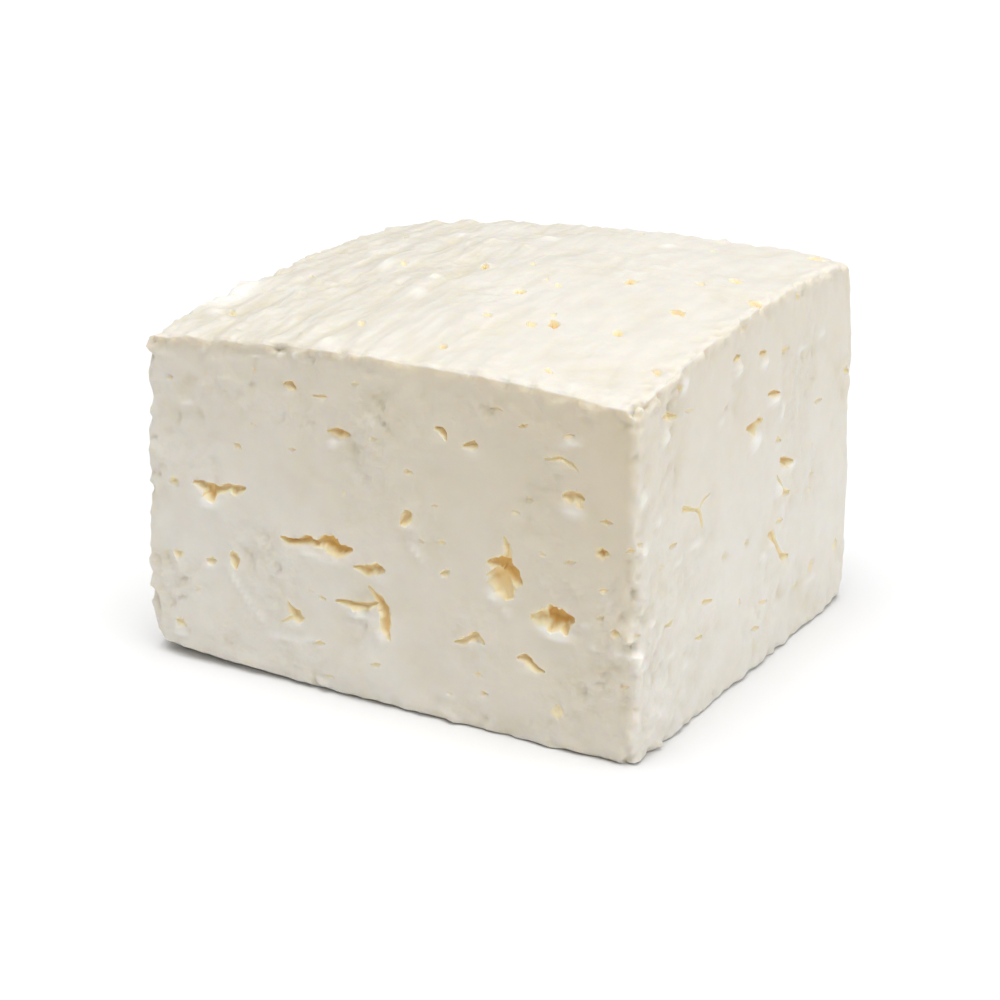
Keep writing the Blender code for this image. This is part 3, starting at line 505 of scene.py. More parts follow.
def onFace(face, flat, depth, width):
    # Flat points and depths below a face as points of the upright block. Noise roughens them, less for
    # a narrow opening, and moves none in or out near the mouth.
    corner, acrossWay, upWay, outWay, _ = (np.array(part, float) for part in faceFrame(face))
    points = corner + np.outer(flat[:, 0], acrossWay) + np.outer(flat[:, 1], upWay)
    points -= np.outer(depth, outWay)
    height, pitch = shape["bumps"]
    bump = np.stack([softNoise(points, pitch, 31 + axis) for axis in range(3)], axis=1)
    bump *= (height * np.minimum(1, width / shape["smoothBelow"]))[:, None]
    bump -= np.outer((bump @ outWay) * (1 - np.clip(depth / shape["smoothMouth"], 0, 1)), outWay)
    return points + bump


def gapCutter(name, face, gap, draw):
    # Stations along the spine, and at each a left and a right side: half the width, less where a curd
    # bulges in, |sin(pi * way / grain)|. Further in, both sides narrow and the whole rises.
    deep, spine = gap
    deep *= shape["shallower"]
    least, perWidth, most = shape["widen"]
    widen = min(max(1.0, least + perWidth * max(node[2] for node in spine)), most)
    nodes = np.array(spine, float)
    way = np.concatenate([[0], np.cumsum(np.linalg.norm(np.diff(nodes[:, :2], axis=0), axis=1))])
    count = max(6, round(way[-1] / shape["step"].get(face, shape["hiddenStep"])))
    along = np.linspace(0, way[-1], count)
    centre = np.stack([np.interp(along, way, nodes[:, axis]) for axis in range(2)], axis=1)
    for _ in range(shape["smoothing"]):
        centre[1:-1] = (centre[:-2] + 2 * centre[1:-1] + centre[2:]) / 4
    width = widen * np.interp(along, way, nodes[:, 2])
    ahead = np.gradient(centre, axis=0)
    ahead /= np.linalg.norm(ahead, axis=1, keepdims=True)
    normal = np.stack([-ahead[:, 1], ahead[:, 0]], axis=1)
    turning = np.gradient(np.unwrap(np.arctan2(ahead[:, 1], ahead[:, 0]))) / (along[1] - along[0])
    rises = shape["rise"][0] * width if face not in ("top", "bottom") else 0 * width
    tip, power = shape["tipDepth"]
    depthHere = deep * (tip + (1 - tip) * (width / width.max()) ** power)
    share, leastBend = shape["bendRoom"]
    sway, pace = shape["grainSway"]
    sides = []
    for side in (1, -1):
        start, swing = draw.random(), draw.random() * 6
        grains = along / shape["grain"] + start + sway * np.sin(along * pace + swing)
        bulge = 1 - shape["grainBulge"] * np.abs(np.sin(np.pi * grains))
        lip = lipWidths(side * normal[:, 1], width, deep, face)
        room = share / np.maximum(side * turning, leastBend)  # so a bend's inner side stays off its centre
        rows = []
        for depth, _, left, risen, lipHere in cutterRings(face, deep):
            reach = width / 2 * bulge * left + lip * lipHere
            flat = centre + side * normal * np.minimum(reach, room)[:, None]
            flat[:, 1] += rises * risen
            rows.append(onFace(face, flat, depth * (depthHere if depth > 0 else np.ones(count)), width))
        sides.append(np.stack(rows))
    grid = np.stack(sides, axis=2)  # ring, station, side
    index = np.arange(grid[..., 0].size).reshape(grid.shape[:3])

    def quads(a, b, c, d):
        return np.stack([part.ravel() for part in (a, b, c, d)], axis=1)

    faces = [
        quads(index[:-1, :-1, 0], index[:-1, 1:, 0], index[1:, 1:, 0], index[1:, :-1, 0]),
        quads(index[:-1, 1:, 1], index[:-1, :-1, 1], index[1:, :-1, 1], index[1:, 1:, 1]),
        quads(index[:-1, 0, 1], index[:-1, 0, 0], index[1:, 0, 0], index[1:, 0, 1]),
        quads(index[:-1, -1, 0], index[:-1, -1, 1], index[1:, -1, 1], index[1:, -1, 0]),
        quads(index[0, :-1, 1], index[0, 1:, 1], index[0, 1:, 0], index[0, :-1, 0]),
        quads(index[-1, :-1, 0], index[-1, 1:, 0], index[-1, 1:, 1], index[-1, :-1, 1]),
    ]
    return bpy.data.objects.new(name, meshFromArrays(name, grid.reshape(-1, 3), np.concatenate(faces)))


def pitOutline(pit, step, draw):
    # Round the angle, the reach runs from one corner's tip to the next and dips in between:
    # reach = tip * (1 - hollow * sin(pi * part) ^ 1.4). It is stretched to length and width and turned.
    _, _, length, width, turn, _, corners = pit
    uneven, swing, hollow = shape["corner"]
    steps = max(4, math.ceil((length + width) * 1.5 / step / corners))
    tips = np.array([1 + uneven * (0.5 - draw.random()) for _ in range(corners)])
    places = [corner + swing * draw.uniform(-1, 1) for corner in range(corners)]
    part = np.tile(np.arange(steps) / steps, corners)
    before = np.repeat(np.arange(corners), steps)
    tip = tips[before] * (1 - part) + tips[(before + 1) % corners] * part
    ends = np.array(places + [places[0] + corners])
    angle = 2 * np.pi * (ends[before] * (1 - part) + ends[before + 1] * part) / corners
    reach = tip * (1 - hollow * np.sin(np.pi * part) ** 1.4)
    a = length / 2 * reach * np.cos(angle)
    b = width / 2 * reach * np.sin(angle)
    cosine, sine = math.cos(math.radians(turn)), math.sin(math.radians(turn))
    return np.stack([a * cosine - b * sine, a * sine + b * cosine], axis=1)


def pitCutter(name, face, pit, draw):
    # A stack of rings round the outline: outwards they open by the lip, inwards they narrow and rise.
    # Both ends are closed by a fan.
    across, up, _, width, _, deep, _ = pit
    deep *= 1 if face == "top" else shape["shallower"]
    outline = pitOutline(pit, shape["step"].get(face, shape["hiddenStep"]), draw)
    ahead = np.roll(outline, -1, axis=0) - np.roll(outline, 1, axis=0)
    outward = np.stack([ahead[:, 1], -ahead[:, 0]], axis=1)
    outward /= np.maximum(np.linalg.norm(outward, axis=1, keepdims=True), 1e-9)
    lip = lipWidths(outward[:, 1], width, deep, face)[:, None]
    rise = shape["rise"][0] * width * (face not in ("top", "bottom"))
    rings = []
    for _, true, left, risen, lipHere in cutterRings(face, deep):
        flat = outline * left + outward * lip * lipHere
        flat = flat + np.array([across, up + rise * risen])
        rings.append(onFace(face, flat, np.full(len(flat), true), np.full(len(flat), width)))
    points = np.concatenate([*rings, rings[0].mean(0, keepdims=True), rings[-1].mean(0, keepdims=True)])
    count = len(outline)
    here = np.arange(count)
    there = (here + 1) % count
    faces = []
    for ring in range(len(rings) - 1):
        upper = ring * count
        lower = upper + count
        faces.append(np.stack([upper + here, lower + here, lower + there], axis=1))
        faces.append(np.stack([upper + here, lower + there, upper + there], axis=1))
    top = len(rings) * count
    last = (len(rings) - 1) * count
    faces.append(np.stack([np.full(count, top), here, there], axis=1))
    faces.append(np.stack([np.full(count, top + 1), last + there, last + here], axis=1))
    return bpy.data.objects.new(name, meshFromArrays(name, points, np.concatenate(faces)))


# The faces out of sight get openings by a rule: how many, and between what sizes
scatter = {
    "gaps": {"back": 9, "left": 8, "top": 0, "bottom": 3},
    "pits": {"back": 46, "left": 40, "top": 6, "bottom": 12},
    "placesTried": 14,
    "margin": 5.0,
    "gapSteps": (3, 6),  # spine pieces of a gap
    "gapStep": (1.1, 2.2),
    "gapWidth": (0.6, 2.3),
    "gapTip": 0.3,  # width at its two ends
    "gapWander": 0.45,  # how far its heading turns at a step
    "gapDepth": (1.2, 3.2),
    "pitLength": (1.1, 4.2),
    "widthShare": (0.4, 0.85),
    "mostlySmall": 2.2,  # the higher, the more of the pits are short
    "depthShare": (0.25, 0.7),
    "leastDepth": 0.4,
    "corners": (3, 4, 4, 5),
    "turn": 28,
    "seed": 11,
}


def scatteredOpenings(face, draw):
    # Each new opening goes to the emptiest of a few random places on the face: first the long gaps,
    # each a short wandering spine, then the pits
    width, height = faceFrame(face)[4]
    margin = scatter["margin"]
    taken = [tuple(np.mean(spine, axis=0)[:2]) for _, spine in gaps.get(face, ())]
    taken += [pit[:2] for pit in pits.get(face, ())]
    moreGaps = []
    morePits = []
    for number in range(scatter["gaps"].get(face, 0) + scatter["pits"].get(face, 0)):
        tries = [
            (draw.uniform(margin, width - margin), draw.uniform(margin, height - margin))
            for _ in range(scatter["placesTried"])
        ]
        room = [min((math.dist(place, other) for other in taken), default=0) for place in tries]
        place = tries[room.index(max(room))]
        taken.append(place)
        turn = draw.gauss(0, scatter["turn"])
        if number < scatter["gaps"].get(face, 0):
            heading = math.radians(turn)
            steps = draw.randint(*scatter["gapSteps"])
            spine = [(*place, scatter["gapTip"])]
            for step in range(steps):
                heading += draw.gauss(0, scatter["gapWander"])
                reach = draw.uniform(*scatter["gapStep"])
                wide = draw.uniform(*scatter["gapWidth"]) if step < steps - 1 else scatter["gapTip"]
                across, up, _ = spine[-1]
                spine.append((across + reach * math.cos(heading), up + reach * math.sin(heading), wide))
            moreGaps.append((draw.uniform(*scatter["gapDepth"]), tuple(spine)))
        else:
            shortest, longest = scatter["pitLength"]
            length = shortest + (longest - shortest) * draw.random() ** scatter["mostlySmall"]
            wide = length * draw.uniform(*scatter["widthShare"])
            deep = max(scatter["leastDepth"], length * draw.uniform(*scatter["depthShare"]))
            morePits.append((*place, length, wide, turn, deep, draw.choice(scatter["corners"])))
    return moreGaps, morePits


def allOpenings():
    # Face by face: the gaps, then the pits
    draw = random.Random(scatter["seed"])
    found = {}
    for face in ("front", "right", "top", "back", "left", "bottom"):
        moreGaps, morePits = scatteredOpenings(face, draw)
        found[face] = ([*gaps.get(face, ()), *moreGaps], [*pits.get(face, ()), *morePits])
    return found


def cutOpenings(body, openings):
    # One Boolean takes every cutter in the collection from the block; the cutters then go
    draw = random.Random(scatter["seed"] + 1)
    cutters = bpy.data.collections.new("gapCutters")
    scene.collection.children.link(cutters)
    for face, (faceGaps, facePits) in openings.items():
        for number, opening in enumerate(faceGaps):
            cutters.objects.link(gapCutter(f"gap_{face}_{number}", face, opening, draw))
        for number, opening in enumerate(facePits):
            cutters.objects.link(pitCutter(f"pit_{face}_{number}", face, opening, draw))
    count = len(cutters.objects)
    cut = body.modifiers.new("openings", "BOOLEAN")
    cut.operation = "DIFFERENCE"
    cut.operand_type = "COLLECTION"
    cut.collection = cutters
    cut.solver = "MANIFOLD"
    bpy.context.view_layer.update()
    evaluated = body.evaluated_get(bpy.context.evaluated_depsgraph_get())
    mesh = bpy.data.meshes.new_from_object(evaluated)
    body.modifiers.clear()
    body.data = mesh
    for cutter in list(cutters.objects):
        bpy.data.objects.remove(cutter, do_unlink=True)
    bpy.data.collections.remove(cutters)
    return count


def faceCoordinates(face, points):
    # Millimetres across and up on a face, and a share that is 1 on the face and 0 off it
    corner, acrossWay, upWay, outWay, _ = (np.array(part, float) for part in faceFrame(face))
    offset = points - corner
    share = np.clip(1 - np.abs(offset @ outWay) / relief["faceReach"], 0, 1)
    return offset @ acrossWay, offset @ upWay, share


def belowFace(face, points):
    # Millimetres in from the plane of a face
    corner, _, _, outWay, _ = (np.array(part, float) for part in faceFrame(face))
    return np.maximum((corner - points) @ outWay, 0)


# How much the curd crumbles: 0 where it was cut smooth, 1 where it crumbles
crumbling = {
    "usual": 0.4,
    "patches": (0.8, 13.0),  # how much it varies, and over what distance
    "edges": (0.5, 2.5),  # how much more there is at an edge, and how far from it
    "least": 0.05,
    "most": 1.2,
    "top": (0.3, 0.6),  # down to this depth the top has this share of it
}

# Where it crumbles more (above 0) or less: across, up, radius in mm, change
crumbleAreas = {
    "front": (
        (91, 20, 9, 0.6), (47, 46, 8, 0.4), (83, 50, 8, 0.4), (56, 30, 6, 0.5), (4, 45, 7, 0.5),
        (6, 10, 8, 0.3), (72, 37, 5, 0.4), (12, 47, 6, 0.3), (24, 38, 7, -0.6), (35, 32, 7, -0.6),
        (66, 42, 6, -0.6), (60, 9, 9, -0.4), (57, 21, 5, -0.5), (40, 21, 4, -0.5), (10, 27, 5, -0.5),
    ),
    "right": (
        (3, 40, 7, 0.6), (2, 14, 8, 0.6), (12, 56, 6, 0.6), (33, 49, 6, 0.6), (63, 49, 8, 0.5),
        (68, 27, 7, 0.4), (20, 35, 5, 0.3), (46, 19, 6, 0.3), (24, 44, 9, -0.8), (37, 33, 9, -0.8),
        (62, 18, 7, -0.4), (72, 40, 6, -0.3),
    ),
    "top": (
        (16, 20, 22, 0.6), (12, 58, 20, 0.5), (38, 42, 9, 0.5), (76, 34, 12, -0.5), (78, 66, 12, -0.4),
    ),
}


def crumbleShare(points):
    # 0 where the curd was cut smooth and 1 where it crumbles: patches of noise, the edges and the
    # named areas, each fading by exp(-(distance / radius)^2)
    varies, pitch = crumbling["patches"]
    share = crumbling["usual"] + varies * softNoise(points, pitch, relief["seed"] + 20)
    clear = np.sort(half - np.abs(points), axis=1)[:, 1]
    more, reach = crumbling["edges"]
    share += more * np.exp(-np.maximum(clear, 0) / reach)
    for face, areas in crumbleAreas.items():
        across, up, here = faceCoordinates(face, points)
        for areaAcross, areaUp, radius, change in areas:
            away = (across - areaAcross) ** 2 + (up - areaUp) ** 2
            share += change * here * np.exp(-away / radius ** 2)
    depth, onTop = crumbling["top"]
    share = np.clip(share, crumbling["least"], crumbling["most"])
    return share * np.where(points[:, 2] > half[2] - depth, onTop, 1.0)


def curdPits(points, pitch, radius, seed):
    # One pit in each lattice cell, as deep as the cube of a random number, and shaped as
    # exp(-(distance / radius)^2)
    scaled = points / pitch
    base = np.floor(scaled).astype(np.int64)
    total = np.zeros(len(points))
    for step in itertools.product((-1, 0, 1), repeat=3):
        cell = base + step
        distance = np.linalg.norm(cell + latticeRandom(cell, seed) - scaled, axis=-1) * pitch / radius
        total = np.maximum(total, latticeRandom(cell, seed + 77)[:, 0] ** 3 * np.exp(-distance ** 2))
    return total


def longMound(dx, dy, turn, length, width):
    # exp(-(2 a / length)^2 - (2 b / width)^2), where a runs along the turn and b across it
    a = dx * np.cos(turn) + dy * np.sin(turn)
    b = dy * np.cos(turn) - dx * np.sin(turn)
    return np.exp(-(2 * a / length) ** 2 - (2 * b / width) ** 2)


def topLeftShare(points, onRight, steepness):
    # 1 over the left of the top and onRight over its right, by 1 / (1 + exp(steepness * x)); 0 on the sides
    x, _, z = (points / half).T
    return np.clip((z - 0.9) / 0.1, 0, 1) * (onRight + (1 - onRight) / (1 + np.exp(x * steepness)))


def shortRidges(face, across, up):
    # One ridge or furrow in each square of a grid on the face, turned at random, with the square of a
    # random number for its height
    height, pitch = relief["ridges"]
    seed = relief["seed"] + 40 + sum(map(ord, face))
    shortest, longest = relief["ridgeLength"]
    narrowest, widest = relief["ridgeWidth"]
    middle, spread = np.radians(relief["ridgeTurn"])
    scaled = np.stack([across, up, np.zeros(len(up))], axis=1) / pitch
    base = np.floor(scaled).astype(np.int64)
    total = np.zeros(len(up))
    for step in itertools.product((-1, 0, 1), (-1, 0, 1), (0,)):
        cell = base + step
        start = latticeRandom(cell, seed)
        form = latticeRandom(cell, seed + 1)
        dx = (scaled[:, 0] - cell[:, 0] - start[:, 0]) * pitch
        dy = (scaled[:, 1] - cell[:, 1] - start[:, 1]) * pitch
        tilt = middle + spread * (2 * start[:, 2] - 1)
        length = shortest + (longest - shortest) * form[:, 0]
        width = narrowest + (widest - narrowest) * form[:, 1]
        rise = (2 * form[:, 2] - 1) * np.abs(2 * form[:, 2] - 1)
        total += rise * longMound(dx, dy, tilt, length, width)
    return height * total


def lipMarks(faceGaps):
    # The curd that bulges below each gap, at its widest place, as marks of the same form as the listed ones
    height, radius = relief["lipLump"]
    longer, wide, below = relief["lipLumpShape"]
    for deep, spine in faceGaps:
        across, up, width = max(spine, key=lambda node: node[2])
        rise = height / relief["marks"] * min(1, deep / 2)
        yield across, up - width / 2 - below * radius, longer * radius + width, wide * radius, 0, rise


def skinRelief(points, crumble, openings):
    # Height of the skin in millimetres: swells, lumps, pits and grooves of the curd, streaks that run
    # back over the top, lumpy edges, single marks, and the curd that bulges under each opening
    seed = relief["seed"]
    height, pitch = relief["swells"]
    raised = height * softNoise(points, pitch, seed)
    height, pitch = relief["lumps"]
    least = relief["lumpsLeast"]
    raised += height * softNoise(points, pitch, seed + 1) * (least + (1 - least) * crumble)
    height, pitch = relief["smallLumps"]
    raised += height * softNoise(points, pitch, seed + 6) * crumble
    height, pitch, radius = relief["pits"]
    raised -= height * curdPits(points, pitch, radius, seed + 7) * crumble
    height, pitch = relief["curdSeams"]
    bends = [softNoise(points, relief["seamWander"], seed + 10 + axis) for axis in range(3)]
    seams = curdSeams(points + np.stack(bends, axis=1), pitch, seed + 2)
    fade, far = relief["seamFade"]
    raised -= height * seams * crumble * (fade + fade * softNoise(points, far, seed + 3))
    onLeft = topLeftShare(points, *relief["leftShare"])
    for name, offset in (("topStreaks", 4), ("topFolds", 9)):
        height, pitch = relief[name]
        raised += height * softNoise(points, pitch, seed + offset) * onLeft
    lumps = softNoise(points, relief["edgeLumps"], seed + 5)
    crumbs = softNoise(points, relief["edgeCrumbs"], seed + 8)
    reach = relief["edgeReach"]
    for first, second, lumpHeight, crumbHeight in edges:
        clear = np.hypot(belowFace(first, points), belowFace(second, points))
        raised += np.exp(-clear / reach) * lumpHeight * lumps
        raised += np.exp(-clear / (relief["crumbReach"] * reach)) * crumbHeight * crumbs
    (first, second), most, reach = relief["calmEdge"]
    calm = np.exp(-np.hypot(belowFace(first, points), belowFace(second, points)) / reach)
    raised *= 1 - most * calm
    # heights of the raised marks alone, from which a highlight is painted
    highlightHeight = np.zeros(len(points))
    for face in openings:
        across, up, here = faceCoordinates(face, points)
        crumbled = np.clip(crumble, relief["ridgesLeast"], 1)
        raised += here * shortRidges(face, across, up) * crumbled * (1 - calm)
        higher = relief["marks"] * (relief["topMarks"] if face == "top" else 1)
        faceMarks = list(marks.get(face, ()))
        if face not in ("top", "bottom"):
            faceMarks += lipMarks(openings[face][0])
        for markAcross, markUp, length, width, turn, rise in faceMarks:
            mound = longMound(across - markAcross, up - markUp, math.radians(turn), length, width)
            mark = higher * rise * here * mound
            raised += mark
            highlightHeight += np.maximum(mark, 0)
    return raised, highlightHeight


def settle(points, raised):
    # The corners lean, the top swells by crown * (1 - x^2) and (1 - y^2), slow waves and the low relief
    # move the skin out along each axis by its share to an odd power, and the corners are worn in by
    # |x y z| to a high power
    outward = points / half
    x, y = outward[:, 0], outward[:, 1]
    z = (outward[:, 2] + 1) / 2
    moved = points.copy()
    moved[:, 2] += half[2]
    for side, top in block["topCorners"].items():
        share = (1 + side[0] * x) * (1 + side[1] * y) / 4
        foot = block["footCorners"][side]
        for axis in range(3):
            moved[:, axis] += share * (top[axis] * z + foot[axis] * (1 - z))
    alongX, alongY, toRight = block["crown"]
    moved[:, 2] += (alongX * (1 - x ** 2) + (alongY + toRight * x) * (1 - y ** 2)) * z
    turns = (points + np.array([0, 0, half[2]])) * 2 * math.pi / block["waveLength"]
    shares = np.stack([x, y, z], axis=1)
    for axis, (first, second, shorter, begin) in enumerate(block["waves"]):
        wave = np.sin(turns[:, first] + begin) * np.sin(shorter * turns[:, second])
        moved[:, axis] += block["waveHeight"] * wave * shares[:, axis] ** 3
    shares[:, 2] = np.maximum(outward[:, 2], 0)
    moved += raised[:, None] * shares ** block["reliefPower"]
    worn = block["cornerWear"] * np.abs(x * y * outward[:, 2]) ** block["wearPower"]
    worn *= np.where((x < 0) & (y < 0) & (z > 0.5), block["keenCorner"], 1)
    inward = np.sign(outward)
    inward[:, 2] = np.maximum(inward[:, 2], 0)  # the underside stays flat
    moved -= worn[:, None] * inward
    begin = block["backLeftFrom"]
    pull = block["backLeftPull"] * np.clip(((y - x) / 2 - begin) / (1 - begin), 0, 1) ** 2
    pull *= 0.7  # along each of the two axes
    moved[:, 0] += pull
    moved[:, 1] -= pull
    return moved


def depthBelowSkin(points):
    # Distance inside the rounded box: radius - |what stands out of the core| - the least way in. The
    # radius is that of the box's own point, which is found by pushing each point out to the box's side
    onBox = points
    for _ in range(10):
        radius = edgeRadius(onBox)[:, None]
        core = np.clip(points, radius - half, half - radius)
        away = points - core
        longest = np.abs(away).max(axis=1, keepdims=True)
        onBox = core + away * radius / np.maximum(longest, 1e-6)
    beyond = np.abs(points) - (half - radius)
    outside = np.linalg.norm(np.maximum(beyond, 0), axis=1)
    return np.maximum(radius[:, 0] - outside - np.minimum(beyond.max(axis=1), 0), 0)


def addNode(tree, kind, links=(), **settings):
    # Adds a node, sets its properties or sockets by name, and links (from socket, to input name)
    node = tree.nodes.new(kind)
    for name, value in settings.items():
        if hasattr(node, name):
            setattr(node, name, value)
        else:
            node.inputs[name.replace("_", " ")].default_value = value
    for source, target in links:
        tree.links.new(source, node.inputs[target])
    return node


look = {
    "curdWhite": "#E9E5DC",
    "curdShade": "#E2DBCE",
    # painted shade: a darker colour along the streaks of the top, most over its left part
    "paintedStreakShade": "#DAD4C6",
    # painted shade: a darker, warmer cream over the front, higher up the right, and in a band under the
    # top's edge
    "paintedShadeCream": "#DED2BA",
    # painted shade: the darker cream painted into dents and into the hollows between crumbs
    "paintedHollowShade": "#D8CCA8",
    # painted highlight: a whiter colour on raised marks and on the curd that bulges under each opening
    "paintedRidgeHighlight": "#F8F6F0",
    "ridges": (0.04, 0.50, 0.75),  # from this height to this one a ridge takes up to this share of painted highlight
    "dents": (0.05, 0.60, 0.34),  # from this depth to this one a dent takes up to this share of painted shade
    # painted shade in the openings: gold near the skin and amber deeper in, standing in for the warm shade
    # and scattered light inside them
    "openingShadeGold": "#F3E6C1",
    "openingShadeAmber": "#EAC174",
    "goldDepth": 0.28,  # millimetres below the skin where the painted shade is gold
    "amberDepth": 1.6,
    "roughness": 0.5,
    "specular": 0.3,
    "scatterWeight": 0.7,
    "scatterRadius": (1.0, 0.75, 0.42),
    "scatterScale": 1.3 * mm,  # how far light spreads inside the curd
    "sharpAbove": 50,  # degrees between two faces from which the edge is sharp
    "mottle": 5.0,  # millimetres across a patch of faintly warmer curd
    "mottleRange": (0.35, 0.7, 0.0, 0.5),  # noise from and to, share of the warmer colour from and to
    "grain": (0.55, 0.02),  # pitch and height in mm of the finest pores, drawn a little coarse
    "crumbs": (1.6, 0.22),  # the same of crumbs, and below of whole curds
    "crumbDents": (0.30, 0.50, 0.16, 0.0),  # noise from and to, share of painted shade in the crumbs' hollows from and to
    "curds": (2.8, 0.50),
    "streaks": ((2.2, 12.0, 3.5), 0.34),  # pitch along x, y and z, and height
    "streakRange": (0.32, 0.66, 1.0, 0.2),  # noise from and to, share of the streaks' painted shade from and to
    "streaksLeft": (0.2, 6),  # share of the streaks on the right of the top, and how fast they fade
    "paintedShadeBand": 3.0,  # millimetres below the top's edge
    "paintedShadeFaces": (0.9, 0.08),  # in half sizes: how far out a face's painted shade begins, and how fast it grows
    "paintedShadeFrontEnd": (0.995, 0.03),  # and where it ends at the front's right edge
    "paintedShadeTop": 0.985,  # above this height no shade is painted
    "paintedShadeFront": (0.34, 0.36, 0.30, 0.05),  # in the middle at the foot, more to the right, more up, least
    "paintedShadeRight": (0.10, 0.32, 0.4),  # at the foot, more up, share of the band
}


def freshCurd():
    # Fresh pressed curd, wrapped while moist: a warm white that light enters a little way, a soft
    # damp sheen, faint warmer patches, painted shade in cream over the sides and under the top's edge,
    # painted shade in the streaks, dents and crumbs, painted highlights on raised marks, and painted shade
    # that deepens the openings from gold to amber
    material = bpy.data.materials.new("freshCurdCheese")
    material.use_nodes = True
    tree = material.node_tree
    shader = tree.nodes["Principled BSDF"]
    place = addNode(tree, "ShaderNodeTexCoord").outputs["Object"]

    def share(name):
        return addNode(tree, "ShaderNodeAttribute", attribute_name=name).outputs["Fac"]

    def noise(pitch, detail, roughness, distortion=0.0, where=place):
        return addNode(tree, "ShaderNodeTexNoise", [(where, "Vector")], Scale=1 / pitch, Detail=detail,
                       Roughness=roughness, Distortion=distortion).outputs["Fac"]

    def ramp(source, start, end, low, high, kind="SMOOTHSTEP"):
        return addNode(tree, "ShaderNodeMapRange", [(source, "Value")], interpolation_type=kind,
                       From_Min=start, From_Max=end, To_Min=low, To_Max=high).outputs["Result"]

    def product(first, second):
        return addNode(tree, "ShaderNodeMath", [(first, 0), (second, 1)], operation="MULTIPLY").outputs[0]

    below, crumble, streaky = share("belowSkin"), share("crumbleShare"), share("streakShare")
    patches = ramp(noise(look["mottle"] * mm, 3.0, 0.6), *look["mottleRange"], kind="LINEAR")
    crumbPitch, crumbHeight = look["crumbs"]
    crumbs = noise(crumbPitch * mm, 2.0, 0.5, 0.4)
    streakPitches, streakHeight = look["streaks"]
    drawn = addNode(tree, "ShaderNodeMapping", [(place, "Vector")])
    drawn.inputs["Scale"].default_value = [1 / (pitch * mm) for pitch in streakPitches]
    lines = noise(1.0, 1.0, 0.5, 0.3, where=drawn.outputs["Vector"])
    goldDepth, amberDepth = look["goldDepth"], look["amberDepth"]
    # Layers over the curd white: faint warmer patches, then painted shade on the sides, in the streaks,
    # dents and crumbs, painted highlights on raised marks, and painted shade in the openings by depth
    layers = (
        (patches, "curdShade"),
        (share("paintedShadeShare"), "paintedShadeCream"),
        (product(ramp(lines, *look["streakRange"]), streaky), "paintedStreakShade"),
        (share("dentShadeShare"), "paintedHollowShade"),
        (product(ramp(crumbs, *look["crumbDents"]), crumble), "paintedHollowShade"),
        (share("ridgeHighlightShare"), "paintedRidgeHighlight"),
        (ramp(below, 0.0, goldDepth, 0.0, 1.0), "openingShadeGold"),
        (ramp(below, goldDepth, amberDepth, 0.0, 1.0), "openingShadeAmber"),
    )
    colour = None
    for amount, code in layers:
        mix = addNode(tree, "ShaderNodeMix", [(amount, "Factor")], data_type="RGBA")
        if colour is None:
            mix.inputs[6].default_value = linearColour(look["curdWhite"])
        else:
            tree.links.new(colour, mix.inputs[6])
        mix.inputs[7].default_value = linearColour(look[code])
        colour = mix.outputs[2]
    tree.links.new(colour, shader.inputs["Base Color"])
    grainPitch, grainHeight = look["grain"]
    curdPitch, curdHeight = look["curds"]
    normal = None
    for source, height in (
        (noise(grainPitch * mm, 2.0, 0.55), grainHeight),
        (product(crumbs, crumble), crumbHeight),
        (product(noise(curdPitch * mm, 1.0, 0.4, 0.3), crumble), curdHeight),
        (product(lines, streaky), streakHeight),
    ):
        links = [(source, "Height"), *([(normal, "Normal")] if normal else [])]
        normal = addNode(tree, "ShaderNodeBump", links, Strength=1.0, Distance=height * mm).outputs["Normal"]
    tree.links.new(normal, shader.inputs["Normal"])
    shader.inputs["Roughness"].default_value = look["roughness"]
    shader.inputs["Specular IOR Level"].default_value = look["specular"]
    shader.inputs["Subsurface Weight"].default_value = look["scatterWeight"]
    shader.inputs["Subsurface Radius"].default_value = look["scatterRadius"]
    shader.inputs["Subsurface Scale"].default_value = look["scatterScale"]
    return material


def paintedShadeShare(points):
    # 1 where shade is painted in cream: a band exp(-(distance below the top / paintedShadeBand)^2) on the
    #                                    sides, and
    # a slow rise over the front towards its upper right and up the right
    x, y, z = (points / half).T
    band = np.exp(-((half[2] - points[:, 2]) / look["paintedShadeBand"]) ** 2)
    (begin, grow), (end, fade) = look["paintedShadeFaces"], look["paintedShadeFrontEnd"]
    front = np.clip((-y - begin) / grow, 0, 1) * np.clip((end - x) / fade, 0, 1)
    right = np.clip((x - begin) / grow, 0, 1) * (1 - front)
    middle, moreRight, moreUp, least = look["paintedShadeFront"]
    onFront = np.maximum(np.clip(middle + moreRight * x + moreUp * z, least, 1), band)
    foot, moreUp, bandShare = look["paintedShadeRight"]
    onRight = np.maximum(np.clip(foot + moreUp * z, 0, 1), bandShare * band)
    return (front * onFront + right * onRight) * (z <= look["paintedShadeTop"])


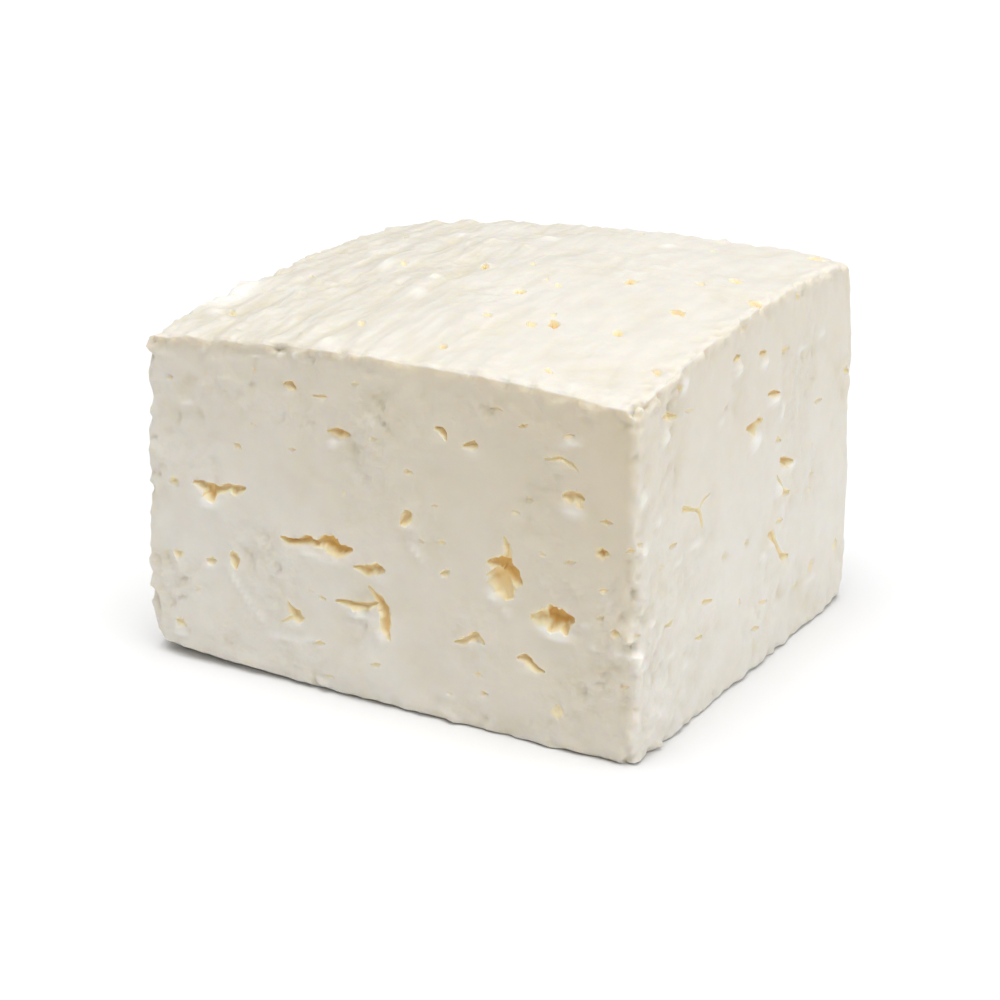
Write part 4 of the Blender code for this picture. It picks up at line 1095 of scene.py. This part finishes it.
def makeCheese():
    points, faces = uprightBlock()
    body = bpy.data.objects.new("curdBlock", meshFromArrays("curdBlock", points, faces))
    scene.collection.objects.link(body)
    print("block:", len(faces), "faces")
    openings = allOpenings()
    cut = cutOpenings(body, openings)
    mesh = body.data
    points = np.empty(len(mesh.vertices) * 3, np.float32)
    mesh.vertices.foreach_get("co", points)
    points = points.reshape(-1, 3).astype(float)
    crumble = crumbleShare(points)
    shares = {
        "belowSkin": depthBelowSkin(points),
        "crumbleShare": crumble,
        "paintedShadeShare": paintedShadeShare(points),
        "streakShare": topLeftShare(points, *look["streaksLeft"]),
    }
    raised, highlightHeight = skinRelief(points, crumble, openings)
    # painted shade in the dents, deeper where the relief sinks further
    shallowest, deepest, most = look["dents"]
    shares["dentShadeShare"] = most * np.clip((-raised - shallowest) / (deepest - shallowest), 0, 1)
    # painted highlight on the raised marks
    lowest, highest, most = look["ridges"]
    shares["ridgeHighlightShare"] = most * np.clip((highlightHeight - lowest) / (highest - lowest), 0, 1)
    moved = settle(points, raised)
    mesh.vertices.foreach_set("co", (moved * mm).astype(np.float32).ravel())
    for name, values in shares.items():
        mesh.attributes.new(name, "FLOAT", "POINT").data.foreach_set("value", values.astype(np.float32))
    mesh.update()
    mesh.shade_smooth()
    mesh.set_sharp_from_angle(angle=math.radians(look["sharpAbove"]))
    mesh.materials.clear()
    mesh.materials.append(freshCurd())
    mesh.calc_loop_triangles()
    print("openings:", cut, "triangles:", len(mesh.loop_triangles))
    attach(body, "root")
    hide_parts("cheese_block")
    return body


light = {
    "key": (2.85, 54, 0, 7),  # strength, spread, tilt to the right, tilt to the front, in degrees
    "side": (0.785, 70, 62, 0),
    "fill": 0.21,
    "floor": 8,  # side of the floor in metres
    "floorWhite": (0.866, 0.868, 0.874),
}


def makeStage():
    # A wide matt white floor, a broad soft light from above and a dim even light all round
    wide = light["floor"] / 2
    corners = np.array([(-wide, -wide, 0), (wide, -wide, 0), (wide, wide, 0), (-wide, wide, 0)])
    mesh = meshFromArrays("floor", corners, np.array([(0, 1, 2, 3)]))
    floor = bpy.data.objects.new("floor", mesh)
    scene.collection.objects.link(floor)
    paper = bpy.data.materials.new("paleMattPaper")
    paper.use_nodes = True
    shade = paper.node_tree.nodes["Principled BSDF"]
    shade.inputs["Base Color"].default_value = (*light["floorWhite"], 1.0)
    shade.inputs["Roughness"].default_value = 1.0
    shade.inputs["Specular IOR Level"].default_value = 0.0
    mesh.materials.append(paper)
    for name in ("key", "side"):
        strength, spread, toRight, toFront = light[name]
        sun = bpy.data.lights.new(name, "SUN")
        sun.energy = strength
        sun.angle = math.radians(spread)
        lamp = bpy.data.objects.new(name, sun)
        lamp.rotation_euler = (math.radians(toFront), math.radians(toRight), 0)
        scene.collection.objects.link(lamp)
    world = bpy.data.worlds.new("studio")
    world.use_nodes = True
    world.node_tree.nodes["Background"].inputs["Color"].default_value = (1, 1, 1, 1)
    world.node_tree.nodes["Background"].inputs["Strength"].default_value = light["fill"]
    scene.world = world


view = {
    "place": (0.2084, -0.3596, 0.1814),
    "turn": 30.26,  # degrees
    "down": 20.83,
    "lens": 90,  # millimetres
    "sensor": 36,
}


def makeCamera():
    lens = bpy.data.cameras.new("camera")
    lens.lens = view["lens"]
    lens.sensor_width = view["sensor"]
    lens.clip_start = 0.01
    camera = bpy.data.objects.new("camera", lens)
    camera.location = view["place"]
    camera.rotation_euler = (math.radians(90 - view["down"]), 0, math.radians(view["turn"]))
    scene.collection.objects.link(camera)
    scene.camera = camera
    scene.view_settings.view_transform = "Standard"


makeCamera()
makeCheese()
makeStage()
print("camera and light set")
